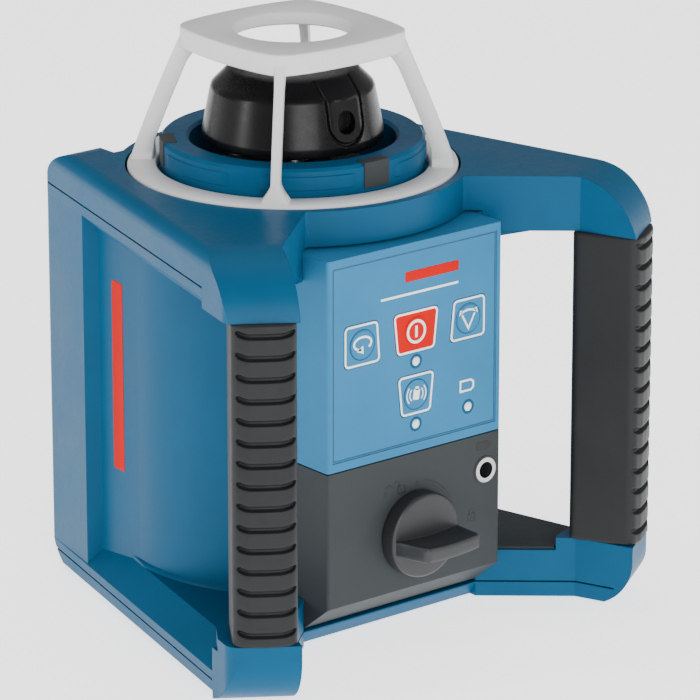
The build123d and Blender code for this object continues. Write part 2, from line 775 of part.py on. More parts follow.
with BuildPart() as cell_contacts:
    with BuildSketch(Plane.XZ.offset(-cell_front_y)):
        with Locations((-cell_x, cell_z), (cell_x, cell_z)):
            Circle(contact_radius)
    extrude(amount=1.0)
    with BuildSketch(Plane.XZ.offset(-cell_front_y - cell_length)):
        with Locations((-cell_x, cell_z), (cell_x, cell_z)):
            Circle(contact_radius)
    extrude(amount=-(block_rear_y - block_wall - cell_front_y - cell_length))
save(cell_contacts, "cell_contacts")

with BuildPart() as block_terminals:
    with BuildSketch(Plane.XZ.offset(-block_rear_y)):
        with Locations(*terminal_places):
            Circle(terminal_radius)
    extrude(amount=block_wall)
save(block_terminals, "block_terminals")

socket_plane = Plane(origin=(socket_x, front_y - 0.2, socket_z), z_dir=(0, 1, 0))
with BuildPart(socket_plane) as charging_socket:
    Cylinder(socket_outer, socket_depth + 0.9, align=(Align.CENTER, Align.CENTER, Align.MIN))
    Cylinder(socket_bore, socket_depth, align=(Align.CENTER, Align.CENTER, Align.MIN), mode=Mode.SUBTRACT)
    Cylinder(socket_ring_outer, 1.0, align=(Align.CENTER, Align.CENTER, Align.MIN), mode=Mode.SUBTRACT)
save(charging_socket, "charging_socket")

with BuildPart(socket_plane.offset(-0.3)) as socket_ring:
    Cylinder(socket_ring_outer, 1.3, align=(Align.CENTER, Align.CENTER, Align.MIN))
    Cylinder(socket_bore, 1.3, align=(Align.CENTER, Align.CENTER, Align.MIN), mode=Mode.SUBTRACT)
save(socket_ring, "socket_ring")

knob_plane = Plane(origin=(0, front_y - 0.3, knob_z), x_dir=(1, 0, 0), z_dir=(0, -1, 0))
knob_disc = 5.7
knob_bar = 11.5
bar_drop = 2.0                  # the bar sits a little below the knob's middle
with BuildPart(knob_plane) as lock_knob:
    with BuildSketch(knob_plane):
        Circle(knob_radius)
    extrude(amount=knob_disc)
    fillet(lock_knob.edges().group_by(Axis.Y)[0], 1.5)
    with BuildSketch(knob_plane.offset(knob_disc)):
        with BuildLine():
            Polyline(
                (-13, -2.6 - bar_drop), (13.4, -2.4 - bar_drop), (13.4, 2.4 - bar_drop), (-13, 2.6 - bar_drop),
                close=True,
            )
        make_face()
    extrude(amount=knob_bar)
    fillet(lock_knob.edges().group_by(Axis.Y)[0], 1.2)
    with BuildSketch(knob_plane):
        Circle(knob_shaft_radius)
    extrude(amount=-2.8)
save(lock_knob, "lock_knob")

cam_plane = Plane(origin=(0, front_cavity_y + 0.3, knob_z), x_dir=(1, 0, 0), z_dir=(0, -1, 0))
with BuildPart() as lock_cam:
    with BuildSketch(cam_plane):
        Circle(5.0)
        with Locations((6, 0)):
            Rectangle(12, 7)
    extrude(amount=-2.4)
save(lock_cam, "lock_cam")

# ---- Collar and guard cage -------------------------------------------------------------------
insert_angles = (-90, 30, 150)
insert_width = 10.0
insert_bottom = 146.5
with BuildPart() as collar:
    with BuildSketch(Plane.XY.offset(ledge_top)):
        Circle(ring_outer - 0.6)
        Circle(collar_inner, mode=Mode.SUBTRACT)
        with Locations(*cage_screw_places):
            Circle(screw_radius, mode=Mode.SUBTRACT)
    extrude(amount=ring_bottom - ledge_top)
    with BuildSketch(Plane.XY.offset(ring_bottom)):
        Circle(collar_outer)
        Circle(collar_inner, mode=Mode.SUBTRACT)
    extrude(amount=collar_top - ring_bottom)
    chamfer(collar.edges().group_by(Axis.Z)[-1], 1.0)
    with BuildSketch(Plane.XY.offset(insert_bottom)):
        for angle in insert_angles:
            with PolarLocations(collar_outer, 1, start_angle=angle):
                Rectangle(9, insert_width)
    extrude(amount=20, mode=Mode.SUBTRACT)
save(collar, "collar")

with BuildPart() as collar_inserts:
    with BuildSketch(Plane.XY.offset(insert_bottom)):
        for angle in insert_angles:
            with PolarLocations(collar_outer, 1, start_angle=angle):
                Rectangle(9, insert_width)
        Circle(collar_outer + 0.3, mode=Mode.INTERSECT)
    extrude(amount=collar_top - insert_bottom + 0.3)
save(collar_inserts, "collar_inserts")

cage_corner = 37.5
cage_bulge = 3.5
cage_wall = 3.0
gusset_depth = 5.6
gusset_half_width = 6.0
half_side = cage_corner * cos(radians(45))


def cage_plan(inset):
    """Rounded square with bulging sides, drawn in from the cage's outline."""
    corner = half_side - inset
    with BuildSketch() as plan:
        with BuildLine():
            for turn in range(4):
                ThreePointArc(
                    Vector(corner, -corner).rotate(Axis.Z, 90 * turn),
                    Vector(corner + cage_bulge, 0).rotate(Axis.Z, 90 * turn),
                    Vector(corner, corner).rotate(Axis.Z, 90 * turn),
                )
        make_face()
        fillet(plan.vertices(), 5.0 - inset)
    return plan.sketch


with BuildPart() as cage:
    with BuildSketch(Plane.XY.offset(total_height - cage_rim)):
        add(cage_plan(0))
    extrude(amount=cage_rim)
    with BuildSketch(Plane.XY.offset(total_height - cage_rim)):
        add(cage_plan(cage_wall))
    extrude(amount=cage_rim - cage_wall, mode=Mode.SUBTRACT)
    with BuildSketch(Plane.XY.offset(total_height - cage_rim)):
        Circle(cage_hole_radius + cage_wall)
    extrude(amount=cage_rim)
    with BuildSketch(Plane.XY.offset(total_height - cage_rim)):
        Circle(cage_hole_radius)
    extrude(amount=cage_rim, mode=Mode.SUBTRACT)
    with BuildSketch(Plane.XY.offset(ring_bottom)):
        Circle(ring_outer)
        Circle(ring_inner, mode=Mode.SUBTRACT)
        with Locations(*cage_screw_places):
            Circle(2.0, mode=Mode.SUBTRACT)
    extrude(amount=ring_top - ring_bottom)
    for angle in (45, 135, 225, 315):
        post_side = Plane.XZ.rotated((0, 0, angle))
        with BuildSketch(post_side):
            with BuildLine():
                Polyline(
                    (post_foot_radius + post_depth / 2, ring_top - 1),
                    (post_foot_radius - post_depth / 2, ring_top - 1),
                    (post_head_radius - post_depth / 2, total_height - 2),
                    (post_head_radius + post_depth / 2, total_height - 2),
                    close=True,
                )
            make_face()
        extrude(amount=post_width / 2, both=True)
        with BuildSketch(Plane.YZ.rotated((0, 0, angle)).offset(post_foot_radius - gusset_depth / 2)):
            with BuildLine():
                Polyline(
                    (-gusset_half_width, ring_top - 0.6), (gusset_half_width, ring_top - 0.6),
                    (post_width / 2 - 0.1, ring_top + 5), (0.1 - post_width / 2, ring_top + 5), close=True,
                )
            make_face()
        extrude(amount=gusset_depth)
save(cage, "cage")

with BuildPart() as cage_screws:
    with BuildSketch(Plane.XY.offset(ring_bottom)):
        with Locations(*cage_screw_places):
            Circle(2.0)
    extrude(amount=ring_top - ring_bottom - 0.8)
    with BuildSketch(Plane.XY.offset(ledge_top - wall)):
        with Locations(*cage_screw_places):
            Circle(screw_radius)
    extrude(amount=ring_bottom - ledge_top + wall)
save(cage_screws, "cage_screws")

# ---- Gimbal, laser and rotor -----------------------------------------------------------------
chassis_bottom = 118.0
motor_places = [(-37, 27), (37, 27)]
with BuildPart() as chassis_frame:
    with BuildSketch(Plane.XY.offset(chassis_bottom)):
        Circle(chassis_outer)
        Circle(chassis_inner, mode=Mode.SUBTRACT)
        with Locations(*motor_places):
            Circle(2.0, mode=Mode.SUBTRACT)
    extrude(amount=ledge_top - wall - chassis_bottom)
    with BuildSketch(Plane.YZ):
        with Locations((0, tilt_z)):
            Circle(pin_radius + 1.5)
    extrude(amount=60, both=True, mode=Mode.SUBTRACT)
save(chassis_frame, "chassis_frame")

with BuildPart() as gimbal_bushes:
    for side in (-1, 1):
        with BuildSketch(Plane.YZ.offset(side * chassis_inner + side * 0.5)):
            with Locations((0, tilt_z)):
                Circle(pin_radius + 1.5)
                Circle(pin_radius + fit_gap, mode=Mode.SUBTRACT)
        extrude(amount=side * 6.5)
save(gimbal_bushes, "gimbal_bushes")

with BuildPart() as gimbal_ring:
    with BuildSketch(Plane.XY.offset(tilt_z - 4)):
        Circle(gimbal_outer)
        Circle(gimbal_inner, mode=Mode.SUBTRACT)
    extrude(amount=8)
    with BuildSketch(Plane.XZ):
        with Locations((0, tilt_z)):
            Circle(pin_radius + fit_gap)
    extrude(amount=60, both=True, mode=Mode.SUBTRACT)
    for side in (-1, 1):
        with BuildSketch(Plane.YZ.offset(side * (gimbal_outer - 1))):
            with Locations((0, tilt_z)):
                Circle(pin_radius)
        extrude(amount=side * 10)
save(gimbal_ring, "gimbal_ring")

carrier_radius = 30.5
housing_radius = 13.0
housing_bottom = 78.0
housing_top = 147.5
housing_floor = 82.0
optics_radius = 7.5
bearing_outer = 10.0
bearing_seat = 127.5
bearing_height = 4.0
lower_bearing = 128.5
upper_bearing = 143.0
diode_top = 96.0
lens_bottom = 112.0
with BuildPart() as laser_carrier:
    with BuildSketch(Plane.XY.offset(tilt_z - 3)):
        Circle(carrier_radius)
        Circle(housing_radius, mode=Mode.SUBTRACT)
        with Locations((motor_x, 0)):
            Circle(motor_radius, mode=Mode.SUBTRACT)
    extrude(amount=6)
    for side in (-1, 1):
        with BuildSketch(Plane.XZ.offset(side * (carrier_radius - 1))):
            with Locations((0, tilt_z)):
                Circle(pin_radius)
        extrude(amount=side * 10)
save(laser_carrier, "laser_carrier")

with BuildPart() as laser_housing:
    with BuildSketch(Plane.XY.offset(housing_bottom)):
        Circle(housing_radius)
    extrude(amount=housing_top - housing_bottom)
    with BuildSketch(Plane.XY.offset(housing_floor)):
        Circle(optics_radius)
    extrude(amount=housing_top, mode=Mode.SUBTRACT)
    with BuildSketch(Plane.XY.offset(bearing_seat)):
        Circle(bearing_outer)
    extrude(amount=housing_top, mode=Mode.SUBTRACT)
save(laser_housing, "laser_housing")

with BuildPart() as spindle_bearings:
    for bottom in (lower_bearing, upper_bearing):
        with BuildSketch(Plane.XY.offset(bottom)):
            Circle(bearing_outer)
            Circle(shaft_radius + fit_gap, mode=Mode.SUBTRACT)
        extrude(amount=bearing_height)
save(spindle_bearings, "spindle_bearings")

with BuildPart() as diode_module:
    with BuildSketch(Plane.XY.offset(housing_floor)):
        Circle(optics_radius)
    extrude(amount=diode_top - housing_floor)
    with BuildSketch(Plane.XY.offset(diode_top)):
        Circle(4.0)
    extrude(amount=4)
save(diode_module, "diode_module")

with BuildPart() as collimator_lens:
    with BuildSketch(Plane.XY.offset(lens_bottom)):
        Circle(optics_radius)
    extrude(amount=4)
    fillet(collimator_lens.edges().group_by(Axis.Z)[-1], 2.0)
save(collimator_lens, "collimator_lens")

with BuildPart() as spin_motor:
    with BuildSketch(Plane.XY.offset(motor_bottom)):
        with Locations((motor_x, 0)):
            Circle(motor_radius)
    extrude(amount=motor_top - motor_bottom)
save(spin_motor, "spin_motor")

with BuildPart() as tilt_sensor:
    with Locations((22, 0, tilt_z + 3)):
        Box(10, 12, 5, align=(Align.CENTER, Align.CENTER, Align.MIN))
save(tilt_sensor, "tilt_sensor")

belt_clearance = 0.3
with BuildSketch() as belt_inside:
    with BuildLine():
        CenterArc((0, 0), rotor_pulley_radius + belt_clearance, 0, 360)
        CenterArc((motor_x, 0), motor_pulley_radius + belt_clearance, 0, 360)
    make_hull()

with BuildPart() as drive_belt:
    with BuildSketch(Plane.XY.offset(pulley_bottom + 0.5)):
        add(belt_inside.sketch)
        offset(amount=0.9, mode=Mode.REPLACE)
        add(belt_inside.sketch, mode=Mode.SUBTRACT)
    extrude(amount=pulley_top - pulley_bottom - 1)
save(drive_belt, "drive_belt")

with BuildPart() as motor_pulley:
    with BuildSketch(Plane.XY.offset(motor_top + 0.3)):
        with Locations((motor_x, 0)):
            Circle(1.0)
    extrude(amount=pulley_bottom - motor_top - 0.3)
    with BuildSketch(Plane.XY.offset(pulley_bottom)):
        with Locations((motor_x, 0)):
            Circle(motor_pulley_radius)
    extrude(amount=pulley_top - pulley_bottom)
save(motor_pulley, "motor_pulley")

with BuildPart() as rotor_pulley:
    with BuildSketch(Plane.XY.offset(pulley_bottom)):
        Circle(rotor_pulley_radius)
        Circle(shaft_radius, mode=Mode.SUBTRACT)
    extrude(amount=pulley_top - pulley_bottom)
save(rotor_pulley, "rotor_pulley")

shaft_bottom = 128.0
beam_bore = 4.0
head_floor = 157.5
with BuildPart() as hollow_shaft:
    with BuildSketch(Plane.XY.offset(shaft_bottom)):
        Circle(shaft_radius)
        Circle(beam_bore, mode=Mode.SUBTRACT)
    extrude(amount=head_floor - shaft_bottom)
save(hollow_shaft, "hollow_shaft")

window_z = 164.0
window_radius = 3.4
head_cavity_radius = 14.0
head_cavity_top = 172.0
with BuildPart() as rotor_head:
    with BuildSketch(Plane.XZ):
        with BuildLine():
            Polyline(
                (shaft_radius, head_base_z), (29.3, head_base_z), (29.3, 157.0), (26.4, 171.6),
                (20.5, head_top_z),
                (0, head_top_z), (0, head_cavity_top), (head_cavity_radius, head_cavity_top),
                (head_cavity_radius, head_floor), (shaft_radius, head_floor), close=True,
            )
        make_face()
    revolve(axis=Axis.Z)
    fillet(rotor_head.edges().filter_by(GeomType.CIRCLE).filter_by(lambda e: 20 < e.radius < 27), 1.2)
    with BuildSketch(Plane.XZ):
        with Locations((0, window_z)):
            Circle(window_radius)
    extrude(amount=40, mode=Mode.SUBTRACT)
save(rotor_head, "rotor_head")

with BuildPart() as exit_window:
    with BuildSketch(Plane.XZ.offset(18)):
        with Locations((0, window_z)):
            Circle(window_radius)
    extrude(amount=1.5)
save(exit_window, "exit_window")

with BuildPart() as pentaprism:
    with BuildSketch(Plane.YZ):
        with BuildLine():
            Polyline((-6, head_floor), (-6, 168.5), (1.5, 171), (7, 164.5), (5.5, head_floor), close=True)
        make_face()
    extrude(amount=6, both=True)
save(pentaprism, "pentaprism")

# ---- Levelling motors and electronics --------------------------------------------------------
levelling_motor_bottom = 74.0
with BuildPart() as levelling_motors:
    with BuildSketch(Plane.XY.offset(levelling_motor_bottom)):
        with Locations(*motor_places):
            Circle(5.5)
    extrude(amount=chassis_bottom - levelling_motor_bottom)
save(levelling_motors, "levelling_motors")

with BuildPart() as levelling_screws:
    with BuildSketch(Plane.XY.offset(chassis_bottom)):
        with Locations(*motor_places):
            Circle(1.5)
    extrude(amount=14)
save(levelling_screws, "levelling_screws")

main_board_y = 58.0
with BuildPart() as main_board:
    with Locations((0, main_board_y, 82)):
        Box(52, 1.6, 30, align=(Align.CENTER, Align.MIN, Align.MIN))
save(main_board, "main_board")

chip_height = 2.0
with BuildPart() as board_parts:
    with Locations((-13, main_board_y, 97)):
        Box(14, chip_height, 14, align=(Align.CENTER, Align.MAX, Align.CENTER))
    with Locations((14, main_board_y, 105)):
        Box(8, chip_height, 8, align=(Align.CENTER, Align.MAX, Align.CENTER))
    with Locations((12, main_board_y, 91)):
        Box(10, 7, 6, align=(Align.CENTER, Align.MAX, Align.CENTER))
    with BuildSketch(Plane.XZ.offset(-main_board_y)):
        with Locations((2, 104)):
            Circle(5.5)
    extrude(amount=5)
save(board_parts, "board_parts")
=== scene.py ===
"""Looks of a rotating laser level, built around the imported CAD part. Metres, in the CAD frame."""

import json
import math

import bmesh
import bpy
from mathutils import Matrix, Vector


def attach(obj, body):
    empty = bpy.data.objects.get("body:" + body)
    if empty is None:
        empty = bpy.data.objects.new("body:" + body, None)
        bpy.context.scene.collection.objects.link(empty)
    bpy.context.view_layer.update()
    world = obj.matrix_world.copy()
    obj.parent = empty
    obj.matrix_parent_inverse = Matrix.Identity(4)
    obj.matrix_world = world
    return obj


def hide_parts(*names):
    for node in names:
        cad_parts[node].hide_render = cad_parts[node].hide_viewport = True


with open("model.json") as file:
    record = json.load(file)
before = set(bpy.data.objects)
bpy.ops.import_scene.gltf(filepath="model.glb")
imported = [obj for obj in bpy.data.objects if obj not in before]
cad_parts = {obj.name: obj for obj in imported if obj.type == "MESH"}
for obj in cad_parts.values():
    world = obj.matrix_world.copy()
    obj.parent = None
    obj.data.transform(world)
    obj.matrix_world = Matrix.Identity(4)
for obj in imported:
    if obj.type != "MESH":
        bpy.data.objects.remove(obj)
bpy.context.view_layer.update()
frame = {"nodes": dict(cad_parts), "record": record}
nodes = frame["nodes"]
MM = 0.001
EDGE_RADIUS = 0.35 * MM
PATCH_SCALE = 38
SCUFF_SCALE = 420


# ---- Materials -----------------------------------------------------------------------------------
def shader(name, colour, roughness, metallic=0.0):
    """A new node material with its uniform values on the shader's own sockets."""
    made = bpy.data.materials.new(name)
    made.use_nodes = True
    surface = made.node_tree.nodes["Principled BSDF"]
    surface.inputs["Base Color"].default_value = (*colour, 1)
    surface.inputs["Roughness"].default_value = roughness
    surface.inputs["Metallic"].default_value = metallic
    return made, made.node_tree, surface


def noise(tree, scale, detail=4.0, roughness=0.5, stretch=None):
    """Noise that lies in the object's own space."""
    place = tree.nodes.new("ShaderNodeTexCoord")
    texture = tree.nodes.new("ShaderNodeTexNoise")
    texture.inputs["Scale"].default_value = scale
    texture.inputs["Detail"].default_value = detail
    texture.inputs["Roughness"].default_value = roughness
    source = place.outputs["Object"]
    if stretch:
        mapping = tree.nodes.new("ShaderNodeMapping")
        mapping.inputs["Scale"].default_value = stretch
        tree.links.new(source, mapping.inputs["Vector"])
        source = mapping.outputs["Vector"]
    tree.links.new(source, texture.inputs["Vector"])
    return texture.outputs["Fac"]


def ranged(tree, value, low, high, out_low, out_high):
    """A value carried from one range to another."""
    step = tree.nodes.new("ShaderNodeMapRange")
    step.inputs["From Min"].default_value = low
    step.inputs["From Max"].default_value = high
    step.inputs["To Min"].default_value = out_low
    step.inputs["To Max"].default_value = out_high
    tree.links.new(value, step.inputs["Value"])
    return step.outputs["Result"]


def edge_mask(tree, radius):
    """One along sharp edges and none on flat faces, from how far a rounded normal turns."""
    rounded = tree.nodes.new("ShaderNodeBevel")
    rounded.samples = 4
    rounded.inputs["Radius"].default_value = radius
    true_normal = tree.nodes.new("ShaderNodeNewGeometry")
    compare = tree.nodes.new("ShaderNodeVectorMath")
    compare.operation = "DOT_PRODUCT"
    tree.links.new(rounded.outputs["Normal"], compare.inputs[0])
    tree.links.new(true_normal.outputs["Normal"], compare.inputs[1])
    return ranged(tree, compare.outputs["Value"], 0.98, 0.75, 0.0, 1.0), rounded.outputs["Normal"]


def plastic(name, colour, roughness, grain, depth, wear=0.25, spread=0.08, coat=0.0, specular=0.5):
    """Moulded plastic: a fine stipple, patches of roughness, slight colour drift and paler worn edges."""
    made, tree, surface = shader(name, colour, roughness)
    surface.inputs["Specular IOR Level"].default_value = specular
    surface.inputs["Coat Weight"].default_value = coat
    surface.inputs["Coat Roughness"].default_value = 0.12
    worn, smooth_normal = edge_mask(tree, EDGE_RADIUS)
    patches = noise(tree, PATCH_SCALE, 5, 0.6)
    scuffs = noise(tree, SCUFF_SCALE, 6, 0.7)
    drift = tree.nodes.new("ShaderNodeHueSaturation")
    drift.inputs["Color"].default_value = (*colour, 1)
    tree.links.new(ranged(tree, patches, 0.3, 0.7, 1 - spread, 1 + spread), drift.inputs["Value"])
    paler = tree.nodes.new("ShaderNodeMix")
    paler.data_type = "RGBA"
    paler.inputs["B"].default_value = (*[min(1, c * 1.5 + 0.05) for c in colour], 1)
    gate = tree.nodes.new("ShaderNodeMath")
    gate.operation = "MULTIPLY"
    tree.links.new(worn, gate.inputs[0])
    tree.links.new(ranged(tree, scuffs, 0.35, 0.75, 0.0, wear), gate.inputs[1])
    tree.links.new(gate.outputs["Value"], paler.inputs["Factor"])
    tree.links.new(drift.outputs["Color"], paler.inputs["A"])
    tree.links.new(paler.outputs["Result"], surface.inputs["Base Color"])
    rough = tree.nodes.new("ShaderNodeMath")
    rough.operation = "ADD"
    patchy = ranged(tree, patches, 0.3, 0.7, roughness - 0.05, roughness + 0.05)
    tree.links.new(patchy, rough.inputs[0])
    tree.links.new(ranged(tree, scuffs, 0.4, 0.8, -0.03, 0.05), rough.inputs[1])
    tree.links.new(rough.outputs["Value"], surface.inputs["Roughness"])
    bump = tree.nodes.new("ShaderNodeBump")
    bump.inputs["Strength"].default_value = 0.5
    bump.inputs["Distance"].default_value = depth * MM
    tree.links.new(noise(tree, grain, 3, 0.6), bump.inputs["Height"])
    tree.links.new(smooth_normal, bump.inputs["Normal"])
    tree.links.new(bump.outputs["Normal"], surface.inputs["Normal"])
    return made


def metal(name, colour, roughness, stretch, depth=0.01):
    """Machined or drawn metal with fine brush lines and darker stains."""
    made, tree, surface = shader(name, colour, roughness, 1.0)
    lines = noise(tree, 900, 4, 0.6, stretch)
    stains = noise(tree, 60, 5, 0.6)
    drift = tree.nodes.new("ShaderNodeHueSaturation")
    drift.inputs["Color"].default_value = (*colour, 1)
    tree.links.new(ranged(tree, stains, 0.3, 0.7, 0.86, 1.08), drift.inputs["Value"])
    tree.links.new(drift.outputs["Color"], surface.inputs["Base Color"])
    brushed = ranged(tree, lines, 0.3, 0.7, roughness - 0.07, roughness + 0.1)
    tree.links.new(brushed, surface.inputs["Roughness"])
    bump = tree.nodes.new("ShaderNodeBump")
    bump.inputs["Strength"].default_value = 0.4
    bump.inputs["Distance"].default_value = depth * MM
    tree.links.new(lines, bump.inputs["Height"])
    tree.links.new(bump.outputs["Normal"], surface.inputs["Normal"])
    return made


def clear_glass(name, colour, roughness):
    """Coated optical glass with a faint haze."""
    made, tree, surface = shader(name, colour, roughness)
    surface.inputs["Transmission Weight"].default_value = 0.85
    surface.inputs["IOR"].default_value = 1.52
    haze = ranged(tree, noise(tree, 300), 0.3, 0.7, roughness, roughness + 0.05)
    tree.links.new(haze, surface.inputs["Roughness"])
    return made


RED = (0.54, 0.0004, 0.0)
shell_blue = plastic("shell_blue_satin", (0.0012, 0.072, 0.158), 0.42, 2600, 0.020, specular=0.12)
# Painted light: the panel's blue is a lighter copy of the shell blue, standing in for the light its front
# face catches.
panel_blue = plastic("panel_blue_matte_painted_light", (0.026, 0.172, 0.340), 0.5, 3200, 0.010, wear=0.2, specular=0.12)
key_red = plastic("key_red_print", RED, 0.5, 4200, 0.006, wear=0.0, specular=0.06)
grip_black = plastic("grip_rubber_matte", (0.013, 0.014, 0.015), 0.5, 2000, 0.030, wear=0.2, spread=0.2,
                     specular=0.2)
block_grey = plastic("block_grey_textured", (0.036, 0.041, 0.044), 0.55, 2400, 0.022, wear=0.3, specular=0.12)
knob_grey = plastic("knob_charcoal", (0.020, 0.021, 0.023), 0.42, 2200, 0.015, wear=0.3, specular=0.4)
rotor_black = plastic("rotor_black_gloss", (0.0035, 0.0035, 0.004), 0.30, 2600, 0.010, wear=0.2, specular=0.2)
cage_grey = plastic("cage_pearl_grey", (0.70, 0.70, 0.70), 0.45, 1800, 0.014, wear=0.15, spread=0.03,
                    specular=0.2)
white_print = plastic("print_white", (0.90, 0.92, 0.93), 0.5, 3000, 0.003, wear=0.0, spread=0.03)
black_soft = plastic("seal_rubber_black", (0.010, 0.010, 0.011), 0.7, 1800, 0.02, wear=0.2)
board_green = plastic("board_green_mask", (0.015, 0.16, 0.05), 0.4, 1500, 0.01, wear=0.1)
chip_black = plastic("component_black_epoxy", (0.012, 0.012, 0.012), 0.5, 2500, 0.01, wear=0.2)
steel = metal("steel_brushed", (0.52, 0.52, 0.53), 0.3, (1, 1, 8))
brass = metal("brass_turned", (0.72, 0.48, 0.17), 0.3, (1, 1, 8))
aluminium = metal("aluminium_machined", (0.68, 0.69, 0.71), 0.34, (1, 1, 6))
optic = clear_glass("optic_glass", (0.9, 0.94, 0.97), 0.02)
lens_white = plastic("lens_frosted_white", (0.80, 0.88, 0.94), 0.22, 3000, 0.004, wear=0.0, coat=0.5)
bar_red = plastic("bar_red_print", RED, 0.5, 3000, 0.004, wear=0.0, specular=0.06)
mark_dark = plastic("mark_dark", (0.010, 0.010, 0.011), 0.6, 3000, 0.004, wear=0.0)
foil_line = plastic("foil_line_blue", (0.010, 0.05, 0.10), 0.5, 3000, 0.004, wear=0.0)

by_slot = {
    "shell_blue": shell_blue, "panel_blue": panel_blue, "key_red": key_red, "grip_rubber": grip_black,
    "dark_plastic": block_grey, "knob_plastic": knob_grey, "rotor_black": rotor_black,
    "cage_metal": cage_grey, "lens_white": lens_white, "glass": optic, "steel": steel, "brass": brass,
    "aluminium": aluminium, "board_green": board_green, "black_rubber": black_soft,
    "component_black": chip_black,
}
slot_of = {part["node"]: part["material_slot"] for part in frame["record"]["subparts"]}
for name, node in nodes.items():
    chosen = by_slot[slot_of[name]]
    for place in node.material_slots:
        place.material = chosen


def paint(obj, material):
    """One material on the whole object."""
    obj.data.materials.clear()
    obj.data.materials.append(material)


# ---- Studio --------------------------------------------------------------------------------------
FLOOR_REACH = 6.0
FLOOR_GLOW = 1.8
WORLD_LIGHT = 0.42
LENS_MM = 261.7
CAMERA_PLACE = (-0.984, -1.235, 0.597)
CAMERA_FORWARD = (0.60096, 0.73645, -0.3105)
LIGHT_TARGET = (0, 0, 0.09)


def studio_floor():
    """A wide pale floor that glows a little, so that it stays light behind the object."""
    made, tree, surface = shader("floor_pale", (0.90, 0.90, 0.90), 0.75)
    surface.inputs["Emission Color"].default_value = (1, 1, 1, 1)
    surface.inputs["Emission Strength"].default_value = FLOOR_GLOW
    tree.links.new(ranged(tree, noise(tree, 5), 0.3, 0.7, 0.70, 0.80), surface.inputs["Roughness"])
    mesh = bpy.data.meshes.new("floor")
    corners = [(x * FLOOR_REACH, y * FLOOR_REACH, 0) for x, y in ((-1, -1), (1, -1), (1, 1), (-1, 1))]
    mesh.from_pydata(corners, [], [(0, 1, 2, 3)])
    floor = bpy.data.objects.new("floor", mesh)
    bpy.context.scene.collection.objects.link(floor)
    paint(floor, made)


def soft_box(name, place, size, power):
    """A rectangular area light that faces the middle of the object."""
    lamp = bpy.data.lights.new(name, "AREA")
    lamp.shape = "RECTANGLE"
    lamp.size = size[0]
    lamp.size_y = size[1]
    lamp.energy = power
    holder = bpy.data.objects.new(name, lamp)
    bpy.context.scene.collection.objects.link(holder)
    holder.location = place
    holder.rotation_euler = (Vector(LIGHT_TARGET) - Vector(place)).to_track_quat("-Z", "Y").to_euler()


def studio_world():
    """An even white surrounding light."""
    world = bpy.data.worlds.new("studio")
    bpy.context.scene.world = world
    world.use_nodes = True
    back = world.node_tree.nodes["Background"]
    back.inputs["Color"].default_value = (1, 1, 1, 1)
    back.inputs["Strength"].default_value = WORLD_LIGHT


def camera():
    """The photograph's viewing angle: from the left and above, a long lens."""
    lens = bpy.data.cameras.new("camera")
    lens.sensor_width = 36
    lens.lens = LENS_MM
    lens.clip_start = 0.05
    holder = bpy.data.objects.new("camera", lens)
    bpy.context.scene.collection.objects.link(holder)
    forward = Vector(CAMERA_FORWARD).normalized()
    right = forward.cross(Vector((0, 0, 1))).normalized()
    up = right.cross(forward)
    turn = Matrix((right, up, -forward)).transposed().to_4x4()
    holder.matrix_world = Matrix.Translation(CAMERA_PLACE) @ turn
    bpy.context.scene.camera = holder


# ---- Mesh tools ----------------------------------------------------------------------------------
def piece(name, vertices, faces, body, slot, material, smooth=True, sharp=35):
    """A mesh in the row frame from points in millimetres, riding on a CAD body."""
    mesh = bpy.data.meshes.new(name)
    mesh.from_pydata([Vector(v) * MM for v in vertices], [], faces)
    mesh.validate()
    shape = bmesh.new()
    shape.from_mesh(mesh)
    bmesh.ops.recalc_face_normals(shape, faces=shape.faces)
    shape.to_mesh(mesh)
    shape.free()
    obj = bpy.data.objects.new(name, mesh)
    bpy.context.scene.collection.objects.link(obj)
    if smooth:
        for face in mesh.polygons:
            face.use_smooth = True
        mesh.set_sharp_from_angle(angle=math.radians(sharp))
    paint(obj, material)
    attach(obj, body)
    return obj


def rings(loops, cap_start=True, cap_end=True, wrap=False):
    """Points and faces of a skin over closed loops of equal length; wrap joins the last to the first."""
    count = len(loops[0])
    points = [p for loop in loops for p in loop]
    faces = []
    for row in range(len(loops) if wrap else len(loops) - 1):
        here = row * count
        above = (row + 1) % len(loops) * count
        for i in range(count):
            j = (i + 1) % count
            faces.append((here + i, here + j, above + j, above + i))
    if cap_start and not wrap:
        faces.append(tuple(reversed(range(count))))
    if cap_end and not wrap:
        faces.append(tuple(range((len(loops) - 1) * count, len(loops) * count)))
    return points, faces


def joined(skins):
    """Several skins as the points and faces of one mesh."""
    points, faces = [], []
    for some_points, some_faces in skins:
        base = len(points)
        points += some_points
        faces += [tuple(base + i for i in face) for face in some_faces]
    return points, faces


def circle(radius, count):
    """Pairs evenly spaced round a circle."""
    turns = [2 * math.pi * i / count for i in range(count)]
    return [(radius * math.cos(turn), radius * math.sin(turn)) for turn in turns]


def front_circle(radius, y, z, count, x=0.0):
    """A circle that faces the front, with its middle at x, y, z."""
    return [(x + across, y, z + up) for across, up in circle(radius, count)]


def clamped(value):
    """The value kept between 0 and 1."""
    return min(1.0, max(0.0, value))


def fullness(share):
    """The height of a quarter circle from 0 at its rim to 1 at its middle."""
    return math.sqrt(max(0.0, 1 - (1 - share) ** 2))


